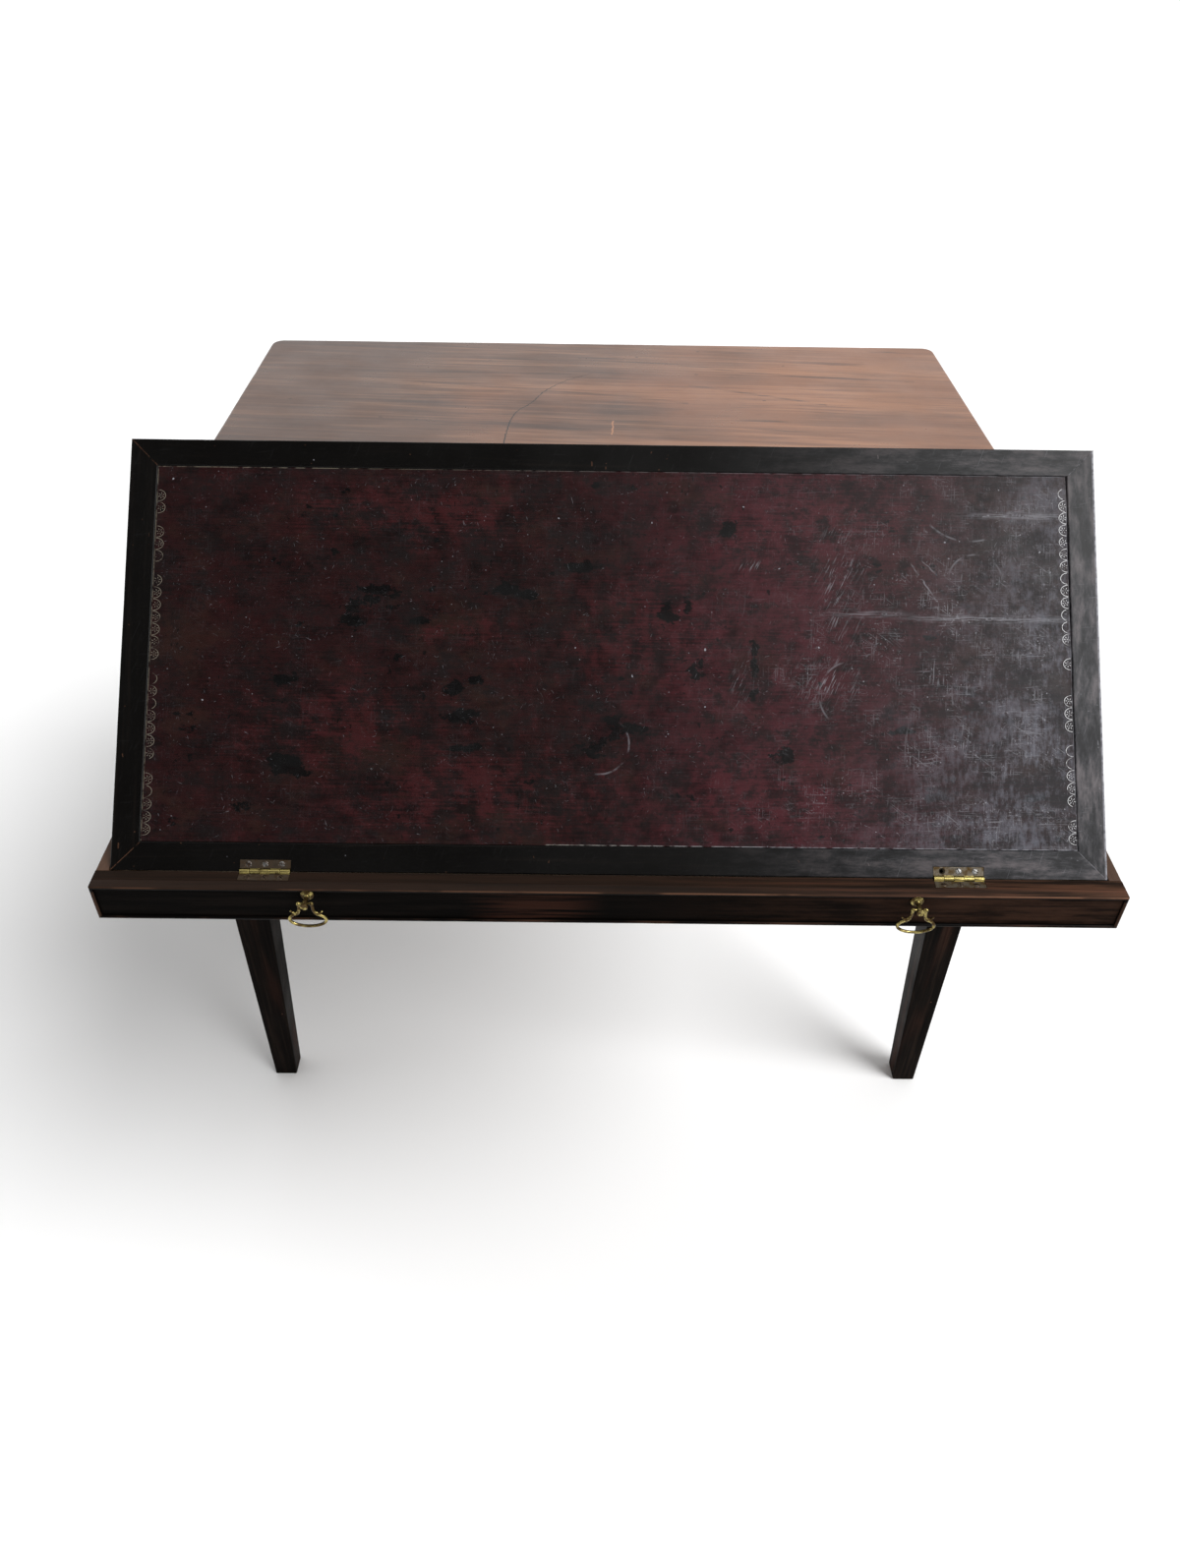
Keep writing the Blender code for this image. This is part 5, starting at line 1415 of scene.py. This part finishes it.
class DESK_OT_slope(Operator):
    """Make the slope's mitred border, glue its mitres and dress its core panel"""

    bl_idname = "desk.slope"
    bl_label = "Writing Slope"

    def execute(self, context):
        sizes, colours = settings(context)
        for edge in ("front", "back", *SIDES):
            grain, along = ("Y", up_the_slope) if edge in SIDES else ("X", X_AXIS)
            name = "slope_border_" + grain
            wood = kept(name, slope_border_polish, colours, name, grain)
            worn_board("slope_border_" + edge, "border_" + edge, along, wood, sizes, BORDER_SHORTEST)
        dress("slope_panel", dark_wood(colours, "X"))
        for edge, upwards in (("front", 1.0), ("back", -1.0)):
            for side, sideways in SIDE_SIGNS:
                self.glue_mitre(edge, side, Vector((sideways, upwards, 0.0)).normalized(), sizes, colours)
        return {"FINISHED"}

    def glue_mitre(self, edge, side, outwards, sizes, colours):
        """The dark glue that fills a mitre, a little below the faces round it."""
        shape = solid_of("slope_border_" + edge)
        outwards = slope_frame.to_3x3() @ outwards
        reach = max(vertex.co.dot(outwards) for vertex in shape.verts) - GLUE_LINE
        others = []
        for face in shape.faces:
            if face.normal.dot(outwards) < FACING or face.calc_center_median().dot(outwards) < reach:
                others.append(face)
        bmesh.ops.delete(shape, geom=others, context="FACES")
        rim = bmesh.ops.inset_region(
            shape, faces=shape.faces, thickness=sizes.glue_depth, use_even_offset=True
        )
        bmesh.ops.delete(shape, geom=rim["faces"], context="FACES")
        filled = bmesh.ops.extrude_face_region(shape, geom=shape.faces[:])
        outer = [item for item in filled["geom"] if isinstance(item, bmesh.types.BMVert)]
        bmesh.ops.translate(shape, verts=outer, vec=outwards * GLUE_LINE)
        wood = dark_wood(colours, "X")
        place("mitre_glue_%s_%s" % (edge, side), shape, wood, "slope", "mahogany_dark")


PATCH_FALL = 0.7
HIDE_WAVES = Vector((16.0, 24.0, 0.0))
HIDE_RIPPLES = Vector((52.0, 70.0, 0.0))
HIDE_RIPPLE_START = Vector((0.0, 0.0, 4.0))
HIDE_RIPPLE_SHARE = 0.5
HIDE_WAVE_SHARE = 0.4
CREASE_RISE = 0.6
CREASE_WIDTH = 0.0012
LIFT_RISE = 0.8
LIFT_WIDTH = 0.0016
GAP_WAVES = 26.0
GAP_WAVE_START = 7.0
GAP_MEAN = 0.65
GAP_UNEVEN = 0.5
GAP_FRONT = 0.25
GAP_GROWTH = 0.75


def patches(places, x, y):
    """How strongly the nearest of some soft patches covers a place."""
    strongest = 0.0
    for centre_x, centre_y, reach_x, reach_y in places:
        away = ((x - centre_x) / reach_x) ** 2 + ((y - centre_y) / reach_y) ** 2
        strongest = max(strongest, math.exp(-PATCH_FALL * away))
    return strongest


class Hide:
    """The leather's rectangle in the slope's frame, and the height of its waves."""

    def __init__(self, sizes):
        corners = corners_in_slope("leather_inset")
        self.low = Vector(min(corner[axis] for corner in corners) for axis in range(3))
        self.high = Vector(max(corner[axis] for corner in corners) for axis in range(3))
        self.width = self.high.x - self.low.x
        self.length = self.high.y - self.low.y
        self.cockle = sizes.hide_cockle
        self.gap = sizes.shrink_gap

    def height(self, x, y):
        """Never above the solid's face: waves, creases and edges that have lifted."""
        spot = Vector((x, y, 0.0))
        ripple = noise.noise(spot * HIDE_RIPPLES + HIDE_RIPPLE_START)
        wave = noise.noise(spot * HIDE_WAVES) + HIDE_RIPPLE_SHARE * ripple
        fall = 0.5 + HIDE_WAVE_SHARE * wave
        for start, end, line in CREASES:
            if start < x < end:
                fall -= CREASE_RISE * math.exp(-(((y - line) / CREASE_WIDTH) ** 2))
        edge = min(x - self.low.x, self.high.x - x, y - self.low.y, self.high.y - y)
        fall -= LIFT_RISE * math.exp(-((edge / LIFT_WIDTH) ** 2))
        return self.high.z - max(0.0, self.cockle * fall)

    def right_edge(self, y):
        """The leather has drawn back from the right border by an uneven gap, wider towards the back."""
        share = (y - self.low.y) / self.length
        uneven = GAP_MEAN + GAP_UNEVEN * noise.noise(Vector((GAP_WAVE_START, y * GAP_WAVES, 0.0)))
        return self.high.x - self.gap * (GAP_FRONT + GAP_GROWTH * share) * uneven


# The tooled border: its margin, its place on the leather and its wear
TOOL_MARGIN = 0.004
TOOL_LEFT_INSET = 0.0012
TOOL_RIGHT_INSET = 0.0006
TOOL_SEEDS = {"left": 11, "right": 12}
SCALLOP_RADIUS = 0.46
SCALLOP_DEPTH = 1.25
SCALLOP_STEPS = 14
SCALLOP_LOST = 0.10
SCALLOP_SHORT = 0.4
SCALLOP_REACH = 90.0
SHORT_REACH = 60.0
SHORT_SPREAD = 30.0
FLOWER_LOST = 0.2
FLOWER_PLACE = 0.5
FLOWER_RADIUS = 0.42
PETALS = 6
PETAL_REACH = 0.35

# Section of a tooled line: shares of half its width, and heights above the leather
TOOL_SECTION = ((-1.0, -0.00012), (-0.6, 0.00005), (0.6, 0.00005), (1.0, -0.00012))

# Where scuffs begin along X, and how they thicken to the right
SCUFF_START = -0.05
SCUFF_REACH = 0.40
SCUFF_LEAST = 0.04
SCUFF_SPREAD = 0.45
SCUFF_PATCHES = 0.65

# Pale fibres on the leather's cut edges
LEFT_FIBRES = 0.5
BACK_LEFT_FIBRES = 0.5
BACK_FIBRES = 0.25
FRONT_FIBRES = 0.9
RIGHT_FIBRES = 0.25
BACK_LEFT_END = -0.20
FRONT_FIBRES_START = -0.05


class DESK_OT_leather(Operator):
    """Lay the leather in its border, with its stains, scuffs and tooled scallops"""

    bl_idname = "desk.leather"
    bl_label = "Leather"

    def execute(self, context):
        sizes, colours = settings(context)
        hide = Hide(sizes)
        sheet = self.lay_sheet(hide, sizes, colours)
        gilding = worn_gilt(colours)
        tooled = [self.tool_border(hide, sizes, gilding, side, sign) for side, sign in SIDE_SIGNS]
        return {"FINISHED"}

    def lay_sheet(self, hide, sizes, colours):
        across = self.spread(hide.width, sizes)
        upwards = self.spread(hide.length, sizes)
        columns = len(across) - 1
        rows = len(upwards) - 1
        points = []
        fields = {"ink": [], "rubbed": [], "scuffed": [], "hatched": [], "edge": []}
        for row, up_share in enumerate(upwards):
            y = hide.low.y + hide.length * up_share
            right = hide.right_edge(y)
            for column, share in enumerate(across):
                x = hide.low.x + (right - hide.low.x) * share
                points.append(slope_frame @ Vector((x, y, hide.height(x, y))))
                fields["ink"].append(patches(INK_BLOTS, x, y))
                fields["rubbed"].append(patches(RUBBED_PATCHES, x, y))
                fields["scuffed"].append(self.scuff(x, y))
                fields["hatched"].append(patches(HATCHED_PATCHES, x, y))
                fields["edge"].append(self.lifted_edge(column, row, columns, rows, x))
        faces = []
        for row in range(rows):
            for column in range(columns):
                first = row * (columns + 1) + column
                faces.append((first, first + 1, first + columns + 2, first + columns + 1))
        self.close_underneath(points, faces, columns, rows, hide)
        mesh = bpy.data.meshes.new("leather_sheet")
        mesh.from_pydata(points, [], faces)
        for name, values in fields.items():
            values += [0.0] * (len(points) - len(values))
            mesh.attributes.new(name, "FLOAT", "POINT").data.foreach_set("value", values)
        material = oxblood_leather(colours)
        return place_mesh("leather_sheet", mesh, material, "slope", ["leather_inset"])

    def close_underneath(self, points, faces, columns, rows, hide):
        """Walls down from the rim and one flat face under the sheet."""
        wide = columns + 1
        rim = list(range(wide))
        rim += [row * wide + columns for row in range(1, rows + 1)]
        rim += [rows * wide + column for column in range(columns - 1, -1, -1)]
        rim += [row * wide for row in range(rows - 1, 0, -1)]
        below = len(points)
        for index in rim:
            spot = slope_frame.inverted() @ points[index]
            points.append(slope_frame @ Vector((spot.x, spot.y, hide.low.z)))
        count = len(rim)
        for index in range(count):
            after = (index + 1) % count
            faces.append((rim[after], rim[index], below + index, below + after))
        faces.append(tuple(below + index for index in reversed(range(count))))

    def spread(self, length, sizes):
        """Shares of a length at which the mesh is cut, with a narrow lip at both ends."""
        count = round(length / sizes.hide_step)
        lip = sizes.hide_lip / length
        return [0.0, lip] + [step / count for step in range(1, count)] + [1.0 - lip, 1.0]

    def scuff(self, x, y):
        spread = max(0.0, min(1.0, (x - SCUFF_START) / SCUFF_REACH))
        patched = SCUFF_PATCHES * spread * patches(SCUFFED_PATCHES, x, y)
        return min(1.0, SCUFF_SPREAD * spread * spread + SCUFF_LEAST + patched)

    def lifted_edge(self, column, row, columns, rows, x):
        """Pale fibres where the cut edge has lifted: all round, but for the left of the front edge."""
        if column == 0:
            return LEFT_FIBRES
        if row == rows:
            return BACK_LEFT_FIBRES if x < BACK_LEFT_END else BACK_FIBRES
        if row == 0 and x > FRONT_FIBRES_START:
            return FRONT_FIBRES
        return RIGHT_FIBRES if column == columns else 0.0

    def tool_border(self, hide, sizes, gilding, side, sign):
        """A chain of half rings along one edge, each round a small flower."""
        shape = bmesh.new()
        chance = random.Random(TOOL_SEEDS[side])
        radius = sizes.scallop * SCALLOP_RADIUS
        for index in range(int((hide.length - TOOL_MARGIN) / sizes.scallop)):
            y = hide.low.y + TOOL_MARGIN + (index + 0.5) * sizes.scallop
            outer = hide.low.x + TOOL_LEFT_INSET if sign < 0 else hide.right_edge(y) - TOOL_RIGHT_INSET
            worn = chance.random()
            if worn < SCALLOP_LOST:
                continue
            reach = SCALLOP_REACH
            if worn <= SCALLOP_SHORT:
                reach = SHORT_REACH + SHORT_SPREAD * chance.random()
            reach = math.radians(reach)
            ring = []
            for step in range(SCALLOP_STEPS + 1):
                angle = -reach + 2.0 * reach * step / SCALLOP_STEPS
                inwards = SCALLOP_DEPTH * radius * math.cos(angle)
                ring.append((outer - sign * inwards, y + radius * math.sin(angle)))
            self.tool_line(shape, hide, ring, sizes.tool_line)
            if worn > FLOWER_LOST:
                centre = (outer - sign * FLOWER_PLACE * radius, y)
                self.tool_flower(shape, hide, centre, radius * FLOWER_RADIUS, sizes.tool_line, chance)
        return place("tooled_border_" + side, shape, gilding, "slope", "oxblood_leather")

    def tool_flower(self, shape, hide, centre, radius, width, chance):
        """Short strokes round a dot."""
        start = chance.random()
        for petal in range(PETALS):
            angle = FULL_TURN * (petal + start) / PETALS
            heading = Vector((math.cos(angle), math.sin(angle)))
            middle = Vector(centre) + heading * radius
            reach = heading * radius * PETAL_REACH
            self.tool_line(shape, hide, [middle - reach, middle + reach], width)
        dot = [(centre[0] - width / 2, centre[1]), (centre[0] + width / 2, centre[1])]
        self.tool_line(shape, hide, dot, width)

    def tool_line(self, shape, hide, line, width):
        """A low rounded ridge along a line on the leather, closed below and at its ends."""
        rings = []
        last = len(line) - 1
        flat = [Vector(point) for point in line]
        for index, point in enumerate(flat):
            heading = (flat[min(index + 1, last)] - flat[max(index - 1, 0)]).normalized()
            across = Vector((-heading.y, heading.x))
            ring = []
            for side, lift in TOOL_SECTION:
                spot = point + across * (side * width / 2.0)
                ring.append(slope_frame @ Vector((spot.x, spot.y, hide.height(spot.x, spot.y) + lift)))
            rings.append(ring)
        skin_rings(shape, rings)


# Screws, as the solids' holes have them
HINGE_SCREW_SPACING = 0.0125
HINGE_SCREW_LINE = 0.00575
BRACKET_SCREW_PLACES = [(0.2381, 0.145), (0.2381, 0.155)]
BRACKET_SCREW_FACE = -0.0134
EMPTY_HOLE = ("slope", "right", -1)
SCREW_SINK = 0.00005
HINGE_SEED = 5
BRACKET_SEED = 8

# A countersunk screw from its point to its face: heights, and shares of its head's radius
SCREW_PROFILE = [
    (-0.0058, 0.175),
    (-0.0045, 0.5),
    (-0.0015, 0.5),
    (-0.0002, 0.98),
    (-0.0001, 1.0),
    (0.0, 0.96),
    (0.00012, 0.7),
    (0.00018, 0.3),
]
SLOT_LENGTH = 2.4
SLOT_WIDTH = 0.34
SLOT_HEIGHT = 0.0012
METAL_ARRIS = 0.0002
LEAF_ARRIS = 0.00012
NUT_ARRIS = 0.0003


def screw_mesh(sizes):
    """One countersunk wood screw with a slotted head, its face at Z = 0."""
    head = sizes.screw_head
    shape = bmesh.new()
    profile = [(height, share * head) for height, share in SCREW_PROFILE]
    turned(shape, profile, sizes.turning_sides // 2, Matrix.Identity(4))
    slot = bmesh.new()
    bmesh.ops.create_cube(slot, size=1.0)
    bmesh.ops.scale(slot, vec=(head * SLOT_LENGTH, head * SLOT_WIDTH, SLOT_HEIGHT), verts=slot.verts)
    return without("screw", shape, slot)


def drive_screws(name, head, places, chance, material, body):
    """One piece with a screw in each place, its slot turned as it was left."""
    shape = bmesh.new()
    for spot in places:
        turn = Matrix.Rotation(chance.uniform(0.0, math.pi), 4, "Z")
        one = head.copy()
        one.transform(spot @ turn)
        shape.from_mesh(one)
        bpy.data.meshes.remove(one)
    place(name, shape, material, body, "screw_steel")


class DESK_OT_hinges(Operator):
    """Dress the butt hinges and drive their screws"""

    bl_idname = "desk.hinges"
    bl_label = "Hinges"

    def execute(self, context):
        colours = context.scene.desk_colours
        brass = hinge_brass(colours)
        head = screw_mesh(context.scene.desk_sizes)
        chance = random.Random(HINGE_SEED)
        for side in SIDES:
            low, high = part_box("hinge_pin_" + side)
            middle = (low.x + high.x) / 2.0
            dress("hinge_pin_" + side, metal(colours, "handle_brass"), METAL_ARRIS)
            # The left upper screws take a darker steel than the right ones: partly rust, partly painted
            # shade.
            upper_steel = metal(colours, "bright_steel" if side == "right" else "worn_steel")
            for body, leaf, sign, base, steel in (
                ("drawer", "lower", -1, hinge_frame, metal(colours, "dull_steel")),
                ("slope", "upper", 1, slope_frame, upper_steel),
            ):
                dress("hinge_%s_leaf_%s" % (leaf, side), brass, LEAF_ARRIS)
                places = []
                for hole in (-1, 0, 1):
                    if (body, side, hole) != EMPTY_HOLE:
                        spot = (middle + hole * HINGE_SCREW_SPACING, sign * HINGE_SCREW_LINE, -SCREW_SINK)
                        places.append(base @ Matrix.Translation(spot))
                drive_screws("hinge_screws_%s_%s" % (leaf, side), head, places, chance, steel, body)
        bpy.data.meshes.remove(head)
        return {"FINISHED"}


class DESK_OT_prop(Operator):
    """Dress the prop frame and its brackets, and drive the brackets' screws"""

    bl_idname = "desk.prop"
    bl_label = "Prop"

    def execute(self, context):
        colours = context.scene.desk_colours
        for node in ("prop_pivot_rail", "prop_foot_bar"):
            dress(node, lining(colours, "X"))
        head = screw_mesh(context.scene.desk_sizes)
        chance = random.Random(BRACKET_SEED)
        upside_down = Matrix.Rotation(math.pi, 4, "X")
        for side, sign in SIDE_SIGNS:
            dress("prop_stile_" + side, lining(colours, "Y", True))
            steel = metal(colours, "dull_steel")
            dress("prop_pivot_pin_" + side, steel, METAL_ARRIS)
            dress("prop_bracket_" + side, metal(colours, "bracket_brass"), METAL_ARRIS)
            places = []
            for x, y in BRACKET_SCREW_PLACES:
                spot = Matrix.Translation((sign * x, y, BRACKET_SCREW_FACE + SCREW_SINK))
                places.append(slope_frame @ spot @ upside_down)
            drive_screws("bracket_screws_" + side, head, places, chance, steel, "slope")
        bpy.data.meshes.remove(head)
        return {"FINISHED"}


# The handle post: its radii, and its heights above the drawer front from its shank to its knob
SHANK = 0.0016
ROSE = 0.0050
ROSE_STEP = 0.0034
NECK = 0.0024
WAIST = 0.00165
BOSS = 0.0023
KNOB = 0.0029
SHANK_END = -0.0160
ROSE_BACK = 0.0003
ROSE_EDGE = 0.0009
ROSE_ROUND = 0.0007
STEP_BOTTOM = 0.0017
STEP_TOP = 0.0024
NECK_BOTTOM = 0.0025
NECK_TOP = 0.0050
WAIST_TOP = 0.0053
BOSS_BOTTOM = 0.0088
BOSS_TOP = 0.0120
KNOB_BACK = 0.0122
KNOB_BACK_ROUND = 0.0004
KNOB_FACE = 0.014
KNOB_ROUND = 0.0005
KNOB_DISH = 0.0002
STEP_FLATS = 4
NECK_FLATS = 8

# The eye in the post for the bail's pins
EYE_RADIUS = 0.0011
EYE_REACH = 0.005
EYE_SIDES = 20

# The bail's wire: its balls, its loop, its pins and its spurs, from the pivot
BALL_PLACE = Vector((0.0049, 0.0, -0.0002))
BALL_RADIUS = 0.00165
LOOP_HALF_HEIGHT = 0.0071
LOOP_OPENING = math.radians(55.0)
LOOP_STEPS = 40
LOOP_NUDGE = 0.01
ARM_STEPS = 16
ARM_TOP = 0.005
PIN_PLACES = (0.0010, 0.0026, 0.0038)
PIN_RADII = [0.0008, 0.0008, 0.0010]
SPUR_ROOT = 8
SPUR_TIP = Vector((0.0120, 0.0, -0.0074))
SPUR_SAG = Vector((0.0, 0.0, -0.0034))
SPUR_STEPS = 14
SPUR_TAPER = 0.45
WIRE_SIDES = 16
SPUR_SIDES = 14
CAST_VOXEL = 0.00020
CAST_SMOOTHINGS = 4


class DESK_OT_handles(Operator):
    """Turn the handle posts and cast the bails that hang on them"""

    bl_idname = "desk.handles"
    bl_label = "Handles"

    def execute(self, context):
        sizes, colours = settings(context)
        brass = metal(colours, "handle_brass")
        for side in SIDES:
            pivot = Vector(joints["bail_%s_swing" % side]["pos_m"])
            self.turn_post(side, pivot, sizes, brass)
            self.cast_bail(side, pivot, sizes, brass)
            dress("handle_nut_" + side, metal(colours, "dull_steel"), NUT_ARRIS)
        return {"FINISHED"}

    def turn_post(self, side, pivot, sizes, brass):
        """Rose, waisted neck, boss and flat knob, with an eye for the bail's pins."""
        outwards = Matrix.Translation((pivot.x, front_face, pivot.z)) @ Matrix.Rotation(QUARTER_TURN, 4, "X")
        profile = [(SHANK_END, SHANK), (ROSE_BACK, SHANK), (ROSE_BACK, ROSE)]
        profile += quarter_round(ROSE_EDGE, ROSE, ROSE_ROUND, False)
        profile += flowing((STEP_BOTTOM, ROSE_STEP), (STEP_TOP, NECK), STEP_FLATS)
        profile += flowing((NECK_BOTTOM, NECK), (NECK_TOP, WAIST), NECK_FLATS)
        profile += flowing((WAIST_TOP, WAIST), (BOSS_BOTTOM, BOSS), NECK_FLATS)
        profile += [(BOSS_TOP, BOSS)]
        profile += quarter_round(KNOB_BACK, KNOB, KNOB_BACK_ROUND, True)
        profile += quarter_round(KNOB_FACE - KNOB_ROUND, KNOB, KNOB_ROUND, False)
        profile += [(KNOB_FACE - KNOB_DISH, SHANK)]
        shape = bmesh.new()
        turned(shape, profile, sizes.turning_sides, outwards)
        eye = bmesh.new()
        across = Matrix.Translation(pivot) @ Matrix.Rotation(QUARTER_TURN, 4, "Y")
        turned(eye, [(-EYE_REACH, EYE_RADIUS), (EYE_REACH, EYE_RADIUS)], EYE_SIDES, across)
        mesh = without("post_" + side, shape, eye)
        place_mesh("post_" + side, mesh, brass, "drawer", ["handle_post_" + side])

    def cast_bail(self, side, pivot, sizes, brass):
        """Ball-topped arms, curling spurs and a wide oval loop, cast in one."""
        shape = bmesh.new()
        spot = Matrix.Translation(pivot)
        half, thick, spur, thin = self.bail_half(sizes)
        mirror = Matrix.Scale(-1.0, 3, X_AXIS)
        other_half = [mirror @ point for point in half]
        wire(shape, half + other_half[-2::-1], thick + thick[-2::-1], WIRE_SIDES, spot)
        for turn in (Matrix.Identity(3), mirror):
            wire(shape, [turn @ point for point in spur], thin, SPUR_SIDES, spot)
            ball = Matrix.Translation(pivot + turn @ BALL_PLACE)
            bmesh.ops.create_icosphere(shape, subdivisions=3, radius=BALL_RADIUS, matrix=ball)
        wires = "bail_%s_wires" % side
        thing = object_from(wires, mesh_from(wires, shape))
        cast = thing.modifiers.new("cast", "REMESH")
        cast.mode = "VOXEL"
        cast.voxel_size = CAST_VOXEL
        soften = thing.modifiers.new("soften", "SMOOTH")
        soften.iterations = CAST_SMOOTHINGS
        place_mesh("bail_cast_" + side, baked(thing), brass, "bail_" + side, ["bail_" + side])

    def bail_half(self, sizes):
        """Right half of the wire from its pin to the bottom of the loop, then its spur, with radii."""
        low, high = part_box("bail_right")
        drop = Vector(joints["bail_right_swing"]["pos_m"]).z - low.z
        half_width = (high.x - low.x) / 2.0 - sizes.wire
        centre = sizes.wire + LOOP_HALF_HEIGHT - drop

        def on_loop(turn):
            return Vector((half_width * math.cos(turn), 0.0, centre + LOOP_HALF_HEIGHT * math.sin(turn)))

        top = on_loop(LOOP_OPENING)
        shoulder = Vector((ARM_TOP, 0.0, -sizes.wire))
        heading = (on_loop(LOOP_OPENING + LOOP_NUDGE) - top).normalized()
        fall = shoulder.z - top.z
        arm = bezier(shoulder, shoulder - Z_AXIS * (fall / 2.0), top + heading * (fall / 4.0), top, ARM_STEPS)
        sweep = -QUARTER_TURN - LOOP_OPENING
        loop = [on_loop(LOOP_OPENING + sweep * step / LOOP_STEPS) for step in range(1, LOOP_STEPS + 1)]
        path = [Vector((x, 0.0, 0.0)) for x in PIN_PLACES] + arm + loop
        radii = PIN_RADII + [sizes.wire] * (len(arm) + len(loop))
        root = arm[SPUR_ROOT]
        third = (SPUR_TIP - root) / 3.0
        spur = bezier(root, root + third + SPUR_SAG, SPUR_TIP - third + SPUR_SAG, SPUR_TIP, SPUR_STEPS)
        thin = [sizes.wire * (1.0 - SPUR_TAPER * step / SPUR_STEPS) for step in range(SPUR_STEPS + 1)]
        return path, radii, spur, thin


class DESK_PT_pieces(Panel):
    """Lists the desk's pieces and what can be changed on them"""

    bl_idname = "DESK_PT_pieces"
    bl_label = "Architect's Desk"
    bl_space_type = "VIEW_3D"
    bl_region_type = "UI"
    bl_category = "Desk"

    def draw(self, context):
        for step in STEPS:
            self.layout.operator(step.bl_idname)
        for group in (context.scene.desk_sizes, context.scene.desk_colours, context.scene.desk_studio):
            box = self.layout.box()
            for name in group.bl_rna.properties.keys():
                if name not in ("rna_type", "name"):
                    box.prop(group, name)


STEPS = (
    DESK_OT_studio,
    DESK_OT_table_top,
    DESK_OT_stand,
    DESK_OT_drawer,
    DESK_OT_slope,
    DESK_OT_leather,
    DESK_OT_hinges,
    DESK_OT_prop,
    DESK_OT_handles,
)
CLASSES = (DeskSizes, DeskColours, DeskStudio, *STEPS, DESK_PT_pieces)


def register():
    for kind in CLASSES:
        bpy.utils.register_class(kind)
    bpy.types.Scene.desk_sizes = PointerProperty(type=DeskSizes)
    bpy.types.Scene.desk_colours = PointerProperty(type=DeskColours)
    bpy.types.Scene.desk_studio = PointerProperty(type=DeskStudio)


def unregister():
    del bpy.types.Scene.desk_studio
    del bpy.types.Scene.desk_colours
    del bpy.types.Scene.desk_sizes
    for kind in reversed(CLASSES):
        bpy.utils.unregister_class(kind)


def main():
    register()
    for step in STEPS:
        group, name = step.bl_idname.split(".")
        getattr(getattr(bpy.ops, group), name)()


if __name__ == "__main__":
    main()
